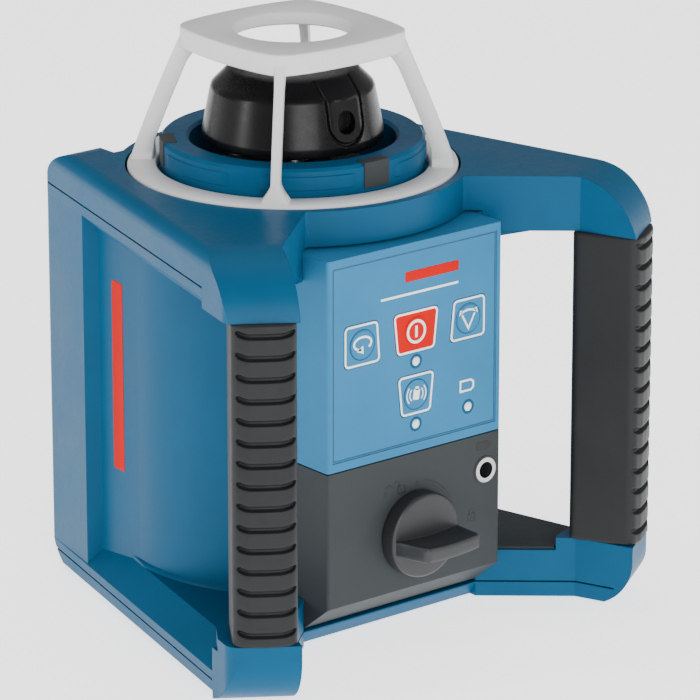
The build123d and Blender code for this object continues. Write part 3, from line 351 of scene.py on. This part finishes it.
def rounded_outline(corners, radii, steps):
    """A closed outline whose corners are arcs, in the plane of its points."""
    out = []
    count = len(corners)
    for i, corner in enumerate(corners):
        here = Vector(corner)
        before = (Vector(corners[i - 1]) - here).normalized()
        after = (Vector(corners[(i + 1) % count]) - here).normalized()
        half = before.angle(after) / 2
        radius = radii[i] if isinstance(radii, (list, tuple)) else radii
        away = radius / math.tan(half)
        centre = here + (before + after).normalized() * (radius / math.sin(half))
        start = here + before * away - centre
        end = here + after * away - centre
        sweep = start.angle(end)
        for k in range(steps + 1):
            share = k / steps
            if sweep < 1e-6:
                out.append(here.copy())
                continue
            arm = (start * math.sin((1 - share) * sweep) + end * math.sin(share * sweep)) / math.sin(sweep)
            out.append(centre + arm)
    return out


# ---- Rubber grips --------------------------------------------------------------------------------
GRIP_BOTTOM = 22.0
GRIP_TOP = 126.7
GRIP_SECTION = ((68.8, -90.2), (74.7, -88.6), (79.4, -86.0), (83.9, -82.4), (87.5, -77.5), (76.5, -61.8),
                (57.0, -69.0))
GRIP_RADII = (3.0, 6, 6, 6, 3.4, 2.6, 2.6)
GRIP_INSET = 1.1
GRIP_END_ROUND = 0.9
GRIP_FRONT_MIDDLE = Vector((78.15, -83.85))
FIRST_SLOT = 26.1
SLOT_PITCH = 6.92
SLOT_COUNT = 15
SLOT_REACH = 9.0
SLOT_HALF = 0.78
SLOT_DEPTH = 1.7
HOLLOW_DEPTH = 0.40


def grip_outline():
    """The right grip's section, a little inside the handle's, starting at its inner front corner."""
    corners = [Vector(corner) for corner in GRIP_SECTION]
    middle = sum(corners, Vector((0, 0))) / len(corners)
    inset = [c + (middle - c).normalized() * GRIP_INSET for c in corners]
    return rounded_outline(inset, GRIP_RADII, 5)


def resampled(outline, count):
    """The closed outline again with evenly spaced points."""
    closed = outline + [outline[0]]
    lengths = [0.0]
    for a, b in zip(closed, closed[1:]):
        lengths.append(lengths[-1] + (b - a).length)
    out, k = [], 0
    for i in range(count):
        want = lengths[-1] * i / count
        while lengths[k + 1] < want:
            k += 1
        share = (want - lengths[k]) / max(1e-9, lengths[k + 1] - lengths[k])
        out.append(closed[k].lerp(closed[k + 1], share))
    return out


def slot_cut(across, height, face):
    """How deep a slot is at a place on the grip's front: thin, with ends that turn up a little."""
    number = min(max(round((height - FIRST_SLOT) / SLOT_PITCH), 0), SLOT_COUNT - 1)
    lift = 1.1 * max(0.0, (abs(across) - 4.5) / 4.2) ** 2.2
    off = abs(height - (FIRST_SLOT + number * SLOT_PITCH + lift))
    reach = clamped((SLOT_REACH - abs(across)) / 0.8)
    edge = clamped((SLOT_HALF * math.sqrt(reach) + 0.18 - off) / 0.3)
    deep = SLOT_DEPTH * edge * edge * (3 - 2 * edge) * min(1.0, reach * 2) * face
    near = clamped((SLOT_REACH + 1.2 - abs(across)) / 2)
    hollow = HOLLOW_DEPTH * (1 - min(1.0, off / 2.2)) ** 2 * near * face
    return deep + hollow


def grip_heights():
    """Heights of the grip's loops, close together at its ends and at each slot."""
    heights = [GRIP_BOTTOM + rise for rise in (0.0, 0.25, 0.7, 1.2, 2.2)]
    for number in range(SLOT_COUNT):
        slot = FIRST_SLOT + number * SLOT_PITCH
        heights += [slot - 1.5 + 0.2 * k for k in range(19)]
        heights += [slot + 2.6, slot + 3.5, slot + 4.5]
    return [z for z in heights if z < GRIP_TOP - 1.0] + [GRIP_TOP - 0.7, GRIP_TOP - 0.25, GRIP_TOP]


def grip(side, name, node):
    """Rubber sleeve with broad ribs between thin slots that run across its front."""
    outline = resampled(grip_outline(), 150)
    middle = sum(outline, Vector((0, 0))) / len(outline)
    along = (Vector(GRIP_SECTION[4]) - Vector(GRIP_SECTION[0])).normalized()
    outwards = Vector((along.y, -along.x))
    loops = []
    for z in grip_heights():
        end = min(z - GRIP_BOTTOM, GRIP_TOP - z)
        rounding = GRIP_END_ROUND * (1 - fullness(min(1.0, end / GRIP_END_ROUND)))
        loop = []
        for point in outline:
            across = (point - GRIP_FRONT_MIDDLE).dot(along) + 0.4
            face = clamped(((point - GRIP_FRONT_MIDDLE).dot(outwards) + 1.6) / 0.8)
            cut = slot_cut(across, z, face)
            inwards = (middle - point).normalized() * rounding - outwards * cut
            moved = point + inwards
            loop.append((side * moved.x, moved.y, z))
        loops.append(loop if side > 0 else list(reversed(loop)))
    points, faces = rings(loops)
    made = piece(name, points, faces, "housing", "grip_rubber", grip_black, sharp=60)
    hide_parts(node)


grip(1, "grip_sleeve_right", "grip_right")
grip(-1, "grip_sleeve_left", "grip_left")


# ---- Flat prints ---------------------------------------------------------------------------------
PRINT_THICKNESS = 0.06
PRINT_LIFT = 0.03


class Print:
    """Thin closed slabs that make up one printed drawing on an upright plane facing the front."""

    def __init__(self, surface, lift=PRINT_LIFT):
        self.front = surface - lift
        self.back = self.front + PRINT_THICKNESS
        self.points = []
        self.faces = []

    def slab(self, outline):
        """A filled outline."""
        base = len(self.points)
        count = len(outline)
        self.points += [(x, self.front, z) for x, z in outline]
        self.points += [(x, self.back, z) for x, z in outline]
        self.faces.append(tuple(base + i for i in range(count)))
        self.faces.append(tuple(base + count + i for i in reversed(range(count))))
        for i in range(count):
            j = (i + 1) % count
            self.faces.append((base + i, base + count + i, base + count + j, base + j))

    def stroke(self, path, width, closed=False):
        """A line of even width along a path."""
        path = [Vector(p) for p in path]
        count = len(path)
        base = len(self.points)
        for i, here in enumerate(path):
            before = path[i - 1] if closed or i > 0 else here - (path[i + 1] - here)
            after = path[(i + 1) % count] if closed or i < count - 1 else here + (here - path[i - 1])
            first = (here - before).normalized()
            second = (after - here).normalized()
            normal = Vector((-first.y - second.y, first.x + second.x)).normalized()
            lean = max(0.5, normal.dot(Vector((-first.y, first.x))))
            arm = normal * (width / 2 / lean)
            for edge in (here + arm, here - arm):
                self.points += [(edge.x, self.front, edge.y), (edge.x, self.back, edge.y)]
        last = count if closed else count - 1
        for i in range(last):
            a = base + 4 * i
            b = base + 4 * ((i + 1) % count)
            self.faces += [(a, b, b + 2, a + 2), (a + 1, a + 3, b + 3, b + 1)]
            self.faces += [(a, a + 1, b + 1, b), (a + 2, b + 2, b + 3, a + 3)]
        if not closed:
            b = base + 4 * (count - 1)
            self.faces += [(base, base + 2, base + 3, base + 1), (b, b + 1, b + 3, b + 2)]

    def make(self, name, body, slot, material):
        """The drawing as one piece on a body."""
        piece(name, self.points, self.faces, body, slot, material, smooth=False)


def arc(centre, radius, start, end, steps, flat=1.0):
    """Points on an arc, in degrees; flat squashes it upright."""
    out = []
    for i in range(steps + 1):
        turn = math.radians(start + (end - start) * i / steps)
        out.append((centre[0] + radius * math.cos(turn), centre[1] + radius * flat * math.sin(turn)))
    return out


def box_outline(centre, width, height, turn=0.0, radius=0.5):
    """A rounded rectangle, turned in its plane."""
    w, h = width / 2, height / 2
    angle = math.radians(turn)
    cos, sin = math.cos(angle), math.sin(angle)
    corners = ((-w, -h), (w, -h), (w, h), (-w, h))
    turned = [Vector((x * cos - z * sin, x * sin + z * cos)) for x, z in corners]
    return [tuple(Vector(centre) + p) for p in rounded_outline(turned, radius, 4)]


FOIL_FACE = -61.6
KEY_FACE = -61.7
DOME_FACE = -61.9
BLOCK_FACE = -61.9
KNOB_Z = 36.0
KEY_ROW = 103.0
LOW_KEY = 82.0
KEY_OUTLINES = {
    "rotation": [(-28.7, 96.2), (-14.3, 96.2), (-15.3, 109.8), (-28.7, 109.8)],
    "power": [(-7.3, 96.2), (8.1, 96.2), (9.6, 109.8), (-8.8, 109.8)],
    "line": [(14.6, 96.2), (29.0, 96.2), (29.0, 109.8), (16.0, 109.8)],
    "vibration": [(-5.5, 75.4), (6.5, 75.4), (7.9, 88.6), (-6.9, 88.6)],
}
KEY_MIDDLES = {
    "rotation": (-21.6, KEY_ROW), "power": (0.4, KEY_ROW), "line": (22.0, KEY_ROW),
    "vibration": (0.5, LOW_KEY),
}
LIGHT_PLACES = ((0.5, 93.0), (0.5, 72.0), (22.3, 73.2))
BATTERY_SYMBOL = (22.0, 80.4)


def key_border(name):
    """White border just inside the edge of one key."""
    drawing = Print(KEY_FACE)
    corners = [Vector(c) for c in KEY_OUTLINES[name]]
    centre = sum(corners, Vector((0, 0))) / 4
    inner = [c + (centre - c).normalized() * 0.45 for c in corners]
    drawing.stroke(rounded_outline(inner, 1.3, 5), 0.75, closed=True)
    return drawing


def rotation_symbol(drawing, x, z):
    """A flat loop that ends in an arrow head."""
    drawing.stroke(arc((x, z + 0.5), 3.5, -45, 215, 30, 0.6), 0.75)
    drawing.slab([(x + 0.2, z - 0.2), (x + 0.4, z - 3.0), (x - 2.4, z - 1.9)])
    drawing.stroke(arc((x, z + 0.5), 3.5, 215, 262, 8, 0.6), 0.75)


def power_symbol(drawing, x, z):
    """A bar in a circle."""
    drawing.stroke(arc((x, z), 3.5, 0, 354, 40), 0.95, closed=True)
    drawing.stroke([(x, z - 1.9), (x, z + 1.9)], 1.0)


def line_symbol(drawing, x, z):
    """A fan with an arrow head at each end of its arc."""
    drawing.stroke([(x - 2.6, z + 1.4), (x, z - 3.3), (x + 2.6, z + 1.4)], 0.7)
    drawing.stroke(arc((x, z - 3.3), 6.2, 60, 120, 16), 0.7)
    drawing.slab([(x - 3.9, z + 1.2), (x - 2.0, z + 2.9), (x - 3.5, z + 3.2)])
    drawing.slab([(x + 3.9, z + 1.2), (x + 3.5, z + 3.2), (x + 2.0, z + 2.9)])


def vibration_symbol(drawing, x, z):
    """A small level between two pairs of arcs."""
    drawing.slab(box_outline((x, z), 2.6, 3.6, -8))
    drawing.slab(box_outline((x + 0.25, z + 2.0), 1.5, 1.2, -8, 0.25))
    for middle in (180, 0):
        for reach, spread in ((2.7, 42), (3.9, 40)):
            drawing.stroke(arc((x, z), reach, middle - spread, middle + spread, 12), 0.45)


def key_prints():
    """Each key's white border and its symbol, which move with the key."""
    symbols = {"rotation": rotation_symbol, "power": power_symbol, "line": line_symbol,
               "vibration": vibration_symbol}
    for name, draw in symbols.items():
        body = name + "_button"
        symbol = Print(DOME_FACE)
        draw(symbol, *KEY_MIDDLES[name])
        key_border(name).make(name + "_key_border", body, "lens_white", white_print)
        symbol.make(name + "_key_symbol", body, "lens_white", white_print)


def dome_lines():
    """A thin darker circle round the dome of each blue key."""
    for name in ("rotation", "line", "vibration"):
        drawing = Print(KEY_FACE)
        drawing.stroke(arc(KEY_MIDDLES[name], 5.0, 0, 354, 44), 0.28, closed=True)
        drawing.make(name + "_dome_line", name + "_button", "shell_blue", shell_blue)


def foil_prints():
    """What is printed on the foil itself: battery symbol, dark rings of the three lights, border line."""
    symbol = Print(FOIL_FACE)
    x, z = BATTERY_SYMBOL
    half = [(-2.9, -1.7), (1.4, -1.7), (2.5, -0.9)]
    outline = half + [(across, -up) for across, up in reversed(half)]
    symbol.stroke([(x + across, z + up) for across, up in outline], 0.7, closed=True)
    symbol.make("battery_symbol", "housing", "lens_white", white_print)
    dark = Print(FOIL_FACE, 0.04)
    for place in LIGHT_PLACES:
        dark.stroke(arc(place, 2.0, 0, 350, 32), 0.9, closed=True)
    dark.make("light_rings", "housing", "shell_blue", shell_blue)
    border = Print(FOIL_FACE, 0.02)
    border.stroke([(-33.2, 66.4), (33.2, 66.4), (33.2, 129.5), (-33.2, 129.5)], 0.35, closed=True)
    border.make("foil_border", "housing", "shell_blue", foil_line)


def light_caps():
    """Domed caps over the three lights."""
    profile = ((1.5, 0.0), (1.4, 0.22), (1.1, 0.42), (0.6, 0.55), (0.15, 0.6))
    foot = FOIL_FACE + 0.05
    caps = [rings([front_circle(radius, foot - rise, z, 24, x) for radius, rise in profile])
            for x, z in LIGHT_PLACES]
    piece("light_caps", *joined(caps), "housing", "lens_white", lens_white)


def plain_bars():
    """Plain bars where the photographed object carries its maker's lettering."""
    red = Print(FOIL_FACE)
    red.slab(box_outline((7.0, 121.6), 22, 3.4))
    red.make("panel_red_bar", "housing", "key_red", bar_red)
    white = Print(FOIL_FACE)
    white.slab(box_outline((2.0, 115.9), 32, 0.8, radius=0.35))
    white.make("panel_white_bar", "housing", "lens_white", white_print)


WALL_FRONT = Vector((-56.2, 9.4))
WALL_BACK = Vector((-53.5, 34.0))


def side_bar():
    """A plain upright red bar on the flat of the left side wall."""
    along = (WALL_BACK - WALL_FRONT).normalized()
    outwards = Vector((-along.y, along.x))
    middle = WALL_FRONT.lerp(WALL_BACK, 0.52)
    outline = box_outline((0, 78.0), 6.6, 64.0, radius=0.8)
    loops = [[tuple(middle + along * across + outwards * out) + (z,) for across, z in outline]
             for out in (0.02, 0.09)]
    piece("side_red_bar", *rings(loops), "housing", "key_red", bar_red, smooth=False)


def padlock(drawing, x, z, is_open):
    """A small padlock: a rounded body and a shackle that is shut or swung open."""
    drawing.stroke(box_outline((x, z), 3.0, 2.5), 0.5, closed=True)
    drawing.slab(box_outline((x, z - 0.1), 0.6, 1.2, radius=0.2))
    shackle = [(x - 0.9, z + 1.3), (x - 0.9, z + 2.2)]
    if is_open:
        shackle += arc((x - 1.9, z + 2.2), 1.0, 0, 170, 10)
    else:
        shackle += arc((x, z + 2.2), 0.9, 180, 0, 10) + [(x + 0.9, z + 1.3)]
    drawing.stroke(shackle, 0.5)


def block_prints():
    """Small lock and charging symbols on the battery block."""
    dark = Print(BLOCK_FACE)
    padlock(dark, -5.6, 51.3, True)
    dark.stroke(arc((-10.6, 51.6), 1.9, 25, 150, 10), 0.55)
    dark.slab([(-12.8, 52.2), (-12.6, 50.2), (-11.2, 51.6)])
    dark.slab(arc((1.1, 51.9), 0.75, 0, 340, 16))
    dark.stroke(arc((0, KNOB_Z), 17.0, 76, 4, 30), 0.5)
    dark.stroke(arc((0, KNOB_Z), 15.9, 62, 12, 26), 0.3)
    padlock(dark, 23.9, 35.0, False)
    dark.slab([(25.7, 60.0), (25.7, 57.2), (30.4, 57.2), (32.1, 58.6), (30.4, 60.0)])
    dark.make("lock_symbols", "battery_unit", "knob_plastic", mark_dark)


key_prints()
dome_lines()
foil_prints()
light_caps()
plain_bars()
side_bar()
block_prints()


# ---- Lock knob -----------------------------------------------------------------------------------
KNOB_BACK = -62.2
DISC_PROFILE = ((13.6, 0.0), (14.0, 0.35), (14.0, 4.7), (13.8, 5.25), (13.35, 5.6), (12.8, 5.7), (0.4, 5.75))
SHAFT_RADIUS = 3.9
BAR_START = -12.9
BAR_LENGTH = 26.4
BAR_END = 13.5
BAR_FOOT = 5.2
BAR_STEPS = 30
BAR_DROP = 2.4
BAR_ARCH = 0.9
BAR_SOFT = 0.9
BAR_SECTION = ((-1, 0.0), (-0.94, 0.6), (-0.7, 0.9), (-0.4, 1.0), (0.4, 1.0), (0.7, 0.9), (0.94, 0.6),
               (1, 0.0))


def bar_section(share):
    """The grip bar's section at a share of its length, from the ramp to the blunt end."""
    x = BAR_START + BAR_LENGTH * share
    full = fullness(clamped((BAR_END - x) / 1.2))
    half = (2.5 - 0.1 * share) * (0.75 + 0.25 * full)
    rise = 5.3 + 11.6 * clamped((x - BAR_START) / 4.6) ** 0.75 - 1.0 * (1 - full)
    z = KNOB_Z - BAR_DROP + BAR_ARCH * (1 - math.sin(math.pi * share))
    upper = [(x, KNOB_BACK - (rise - BAR_SOFT * (1 - soft)), z + side * half) for side, soft in BAR_SECTION]
    return [(x, KNOB_BACK - BAR_FOOT, z - half)] + upper + [(x, KNOB_BACK - BAR_FOOT, z + half)]


def knob():
    """Round disc with a tall grip bar, ramped at one end and slightly arched."""
    disc = [front_circle(radius, KNOB_BACK - rise, KNOB_Z, 72) for radius, rise in DISC_PROFILE]
    bar = [bar_section(k / BAR_STEPS) for k in range(BAR_STEPS + 1)]
    shaft = [front_circle(SHAFT_RADIUS, KNOB_BACK + depth, KNOB_Z, 32) for depth in (2.8, -0.3)]
    points, faces = joined([rings(disc), rings(bar), rings(shaft)])
    made = piece("lock_knob_shaped", points, faces, "lock", "knob_plastic", knob_grey, sharp=40)
    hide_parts("lock_knob")


knob()


# ---- Rotor head ----------------------------------------------------------------------------------
HEAD_BASE = 154.0
HEAD_TOP = 177.5
SKIRT_TOP = 157
SKIRT_RADIUS = 29.3
SHOULDER_Z = 171.6
SHOULDER_RADIUS = 26.4
WALL_TOP = 170.9
WALL_STEP = 0.28
HEAD_SHOULDER = (
    (26.45, 171.1), (26.2, 171.7), (25.6, 172.4), (24.8, 173.2), (24.0, 174.0), (23.2, 174.8), (22.4, 175.6),
    (21.6, 176.4), (21.1, 176.9), (20.5, 177.3), (19.8, HEAD_TOP), (12.6, HEAD_TOP), (12.0, 177.2),
    (11.9, 176.6), (11.3, 176.4), (3.0, 176.4),
)
WINDOW_Z = 164.0
TONGUE_HALF = 6.5
TONGUE_TOP = 171.2
GROOVE_WIDTH = 0.9
GROOVE_DEPTH = 1.1
HOLE_FLAT = 3.3
HOLE_EDGE = 3.6
HOLE_DEPTH = 3.4


def head_radius(z):
    """The head's outer wall: a short upright skirt, then a slight taper to the shoulder."""
    if z < SKIRT_TOP:
        return SKIRT_RADIUS
    return SKIRT_RADIUS + (SHOULDER_RADIUS - SKIRT_RADIUS) * (z - SKIRT_TOP) / (SHOULDER_Z - SKIRT_TOP)


def head_angles():
    """Angles round the head, close together near the exit hole."""
    near = [-90 + 0.5 * k for k in range(-44, 45)]
    far = [-68 + 3.18 * k for k in range(1, 99)]
    return [math.radians(a) for a in near + [a for a in far if a < 248 - 1.5]]


def front_of_head(x, y, z):
    """A point of the head's front moved in: level on the tongue, sunk in its groove and in the hole."""
    away = math.hypot(x, max(0.0, WINDOW_Z - z))
    off = abs(away - TONGUE_HALF - GROOVE_WIDTH / 2)
    cut = GROOVE_DEPTH * clamped((GROOVE_WIDTH / 2 + 0.12 - off) / 0.24)
    if away < TONGUE_HALF and z < TONGUE_TOP:
        y = max(y, -math.sqrt(head_radius(z) ** 2 - TONGUE_HALF ** 2) - 0.25)
    hole = math.hypot(x, WINDOW_Z - z)
    if hole < HOLE_EDGE:
        cut = HOLE_DEPTH * min(1.0, (HOLE_EDGE - hole) / (HOLE_EDGE - HOLE_FLAT))
    return x, y + cut, z


def rotor_head():
    """Turned head with a flat U-shaped tongue round the exit hole, set off by a groove over the shoulder."""
    profile = [(6.4, HEAD_BASE), (28.9, HEAD_BASE), (SKIRT_RADIUS, HEAD_BASE + 0.5)]
    z = HEAD_BASE + 0.8
    while z < WALL_TOP:
        profile.append((head_radius(z), z))
        z += WALL_STEP
    angles = head_angles()
    loops = []
    for radius, z in profile + list(HEAD_SHOULDER):
        loop = [(radius * math.cos(angle), radius * math.sin(angle), z) for angle in angles]
        if radius > 20.9 and z > HEAD_BASE + 0.4:
            loop = [front_of_head(*point) if point[1] < 0 else point for point in loop]
        loops.append(loop)
    points, faces = rings(loops, cap_start=False)
    made = piece("rotor_head_turned", points, faces, "rotor", "rotor_black", rotor_black, sharp=32)
    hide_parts("rotor_head")
    bore = [front_circle(radius, y, WINDOW_Z, 32)
            for radius, y in ((3.55, -25.2), (3.3, -24.9), (3.2, -20.0), (0.2, -20.0))]
    piece("exit_bore", *rings(bore, cap_start=False), "rotor", "rotor_black", mark_dark)


rotor_head()


# ---- Guard cage ----------------------------------------------------------------------------------
TOTAL_HEIGHT = 190.0
CAGE_RIM = 7.0
HOLE_RADIUS = 18.7
RING_BOTTOM = 142.8
RING_TOP = 145.8
RING_OUTER = 53.4
RING_INNER = 44.0
CAGE_CORNER = 37.5
CAGE_CORNER_CUT = 1.1
CAGE_BULGE = 3.5
PLATE_POINTS = 192
RING_POINTS = 160
POST_STEPS = 56
POST_FOOT_RADIUS = 52.6
POST_SECTION = ((-1, 0.06), (-0.82, 0.0), (0.82, 0.0), (1, 0.06), (1, 0.94), (0.82, 1.0), (-0.82, 1.0),
                (-1, 0.94))


def cage_radius(angle):
    """How far the top plate's outline is from the axis: a square with bulging sides and soft corners."""
    half = CAGE_CORNER * math.cos(math.radians(45))
    turn = (angle + math.pi / 4) % (math.pi / 2) - math.pi / 4
    flat = half + CAGE_BULGE * (1 - (math.tan(turn)) ** 2)
    reach = flat / math.cos(turn)
    corner = CAGE_CORNER - CAGE_CORNER_CUT
    blend = 1 / ((1 / reach) ** 40 + (1 / corner) ** 40) ** (1 / 40)
    return min(reach, corner) * 0.4 + min(blend, reach, corner) * 0.6


def cage_top():
    """Plate with a deep outer rim and a rounded inner lip round the hole."""
    top = TOTAL_HEIGHT - 0.01
    low = top - CAGE_RIM

    def edge(inset, z):
        """The plate's outline, moved in."""
        angles = [2 * math.pi * i / PLATE_POINTS for i in range(PLATE_POINTS)]
        reaches = [(cage_radius(angle) - inset, angle) for angle in angles]
        return [(reach * math.cos(angle), reach * math.sin(angle), z) for reach, angle in reaches]

    def hole(widening, z):
        """The hole's outline, made wider."""
        return [(x, y, z) for x, y in circle(HOLE_RADIUS + widening, PLATE_POINTS)]

    loops = [
        hole(0, low + 3.2), hole(0, top - 0.9), hole(0.3, top - 0.3), hole(0.9, top), edge(0.9, top),
        edge(0.4, top - 0.05), edge(0.1, top - 0.2), edge(0.0, top - 0.5), edge(0.0, low + 0.7),
        edge(0.3, low + 0.15), edge(0.8, low), edge(1.9, low), edge(2.4, low + 0.4), edge(2.6, top - 3.4),
        edge(3.4, top - 2.7), hole(2.6, top - 2.7), hole(2.2, top - 3.0), hole(1.9, low + 2.9),
        hole(0.8, low + 2.7),
    ]
    return rings(loops, wrap=True)


def cage_ring():
    """Flat ring with softened edges that the eight screws hold."""
    section = [
        (RING_INNER, RING_BOTTOM), (RING_INNER, RING_TOP - 0.5), (RING_INNER + 0.5, RING_TOP),
        (RING_OUTER - 0.9, RING_TOP), (RING_OUTER - 0.25, RING_TOP - 0.3), (RING_OUTER, RING_TOP - 0.9),
        (RING_OUTER, RING_BOTTOM + 0.3), (RING_OUTER - 0.3, RING_BOTTOM),
    ]
    return rings([[(x, y, z) for x, y in circle(radius, RING_POINTS)] for radius, z in section], wrap=True)


def cage_post(angle):
    """Leaning post: wide across at its foot and head, narrow between, with a curved inner edge."""
    foot_z, head_z = RING_TOP - 0.6, TOTAL_HEIGHT - 1.4
    top_radius = cage_radius(angle) - 0.9
    cos, sin = math.cos(angle), math.sin(angle)
    loops = []
    for k in range(POST_STEPS + 1):
        share = k / POST_STEPS
        z = foot_z + (head_z - foot_z) * share
        outer = POST_FOOT_RADIUS + (top_radius - POST_FOOT_RADIUS) * share ** 1.12
        foot = max(0.0, 1 - share / 0.14)
        head = max(0.0, (share - 0.72) / 0.28)
        depth = 5.9 + 1.8 * foot + 9.0 * head ** 2.4
        half = 1.45 + 3.6 * foot ** 1.3 + 0.5 * head ** 2
        places = [(outer - depth * inwards, half * across) for across, inwards in POST_SECTION]
        loops.append([(radius * cos - side * sin, radius * sin + side * cos, z) for radius, side in places])
    return rings(loops)


def cage():
    """Plate, ring and four posts as one piece."""
    posts = [cage_post(math.radians(45 + 90 * n)) for n in range(4)]
    points, faces = joined([cage_top(), cage_ring()] + posts)
    made = piece("guard_cage", points, faces, "housing", "cage_metal", cage_grey, sharp=50)
    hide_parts("cage")


cage()


# ---- Collar trims --------------------------------------------------------------------------------
COLLAR_RADIUS = 42.7
INSERT_ANGLES = (-90, 30, 150)
PAD_OFFSETS = (11, 67)
PAD_SPAN = 42
PAD_HEIGHT = 0.45
PAD_STEPS = 24


def collar_pad(start):
    """One raised pad that starts at an angle in degrees and fades out at both ends."""
    loops = []
    for k in range(PAD_STEPS + 1):
        share = k / PAD_STEPS
        angle = math.radians(start + PAD_SPAN * share)
        lift = PAD_HEIGHT * min(1.0, min(share, 1 - share) / 0.05)
        section = ((-0.4, 147.4), (lift, 147.9), (lift, 152.0), (-0.4, 152.6))
        loops.append([((COLLAR_RADIUS + out) * math.cos(angle), (COLLAR_RADIUS + out) * math.sin(angle), z)
                      for out, z in section])
    return rings(loops)


def collar_pads():
    """Shallow raised pads round the collar's wall, between its three dark inserts."""
    pads = [collar_pad(insert + offset) for insert in INSERT_ANGLES for offset in PAD_OFFSETS]
    piece("collar_pads", *joined(pads), "housing", "shell_blue", shell_blue, sharp=30)


collar_pads()


# ---- Floor, lights and camera --------------------------------------------------------------------
studio_floor()
studio_world()
soft_box("key", (-0.65, -1.5, 0.62), (0.9, 0.9), 20)
soft_box("fill", (-1.35, 0.35, 0.4), (0.16, 0.9), 7)
soft_box("side", (1.3, -0.9, 0.5), (0.35, 0.9), 6)
soft_box("top", (0.0, 0.3, 1.3), (0.9, 0.9), 4.5)
camera()
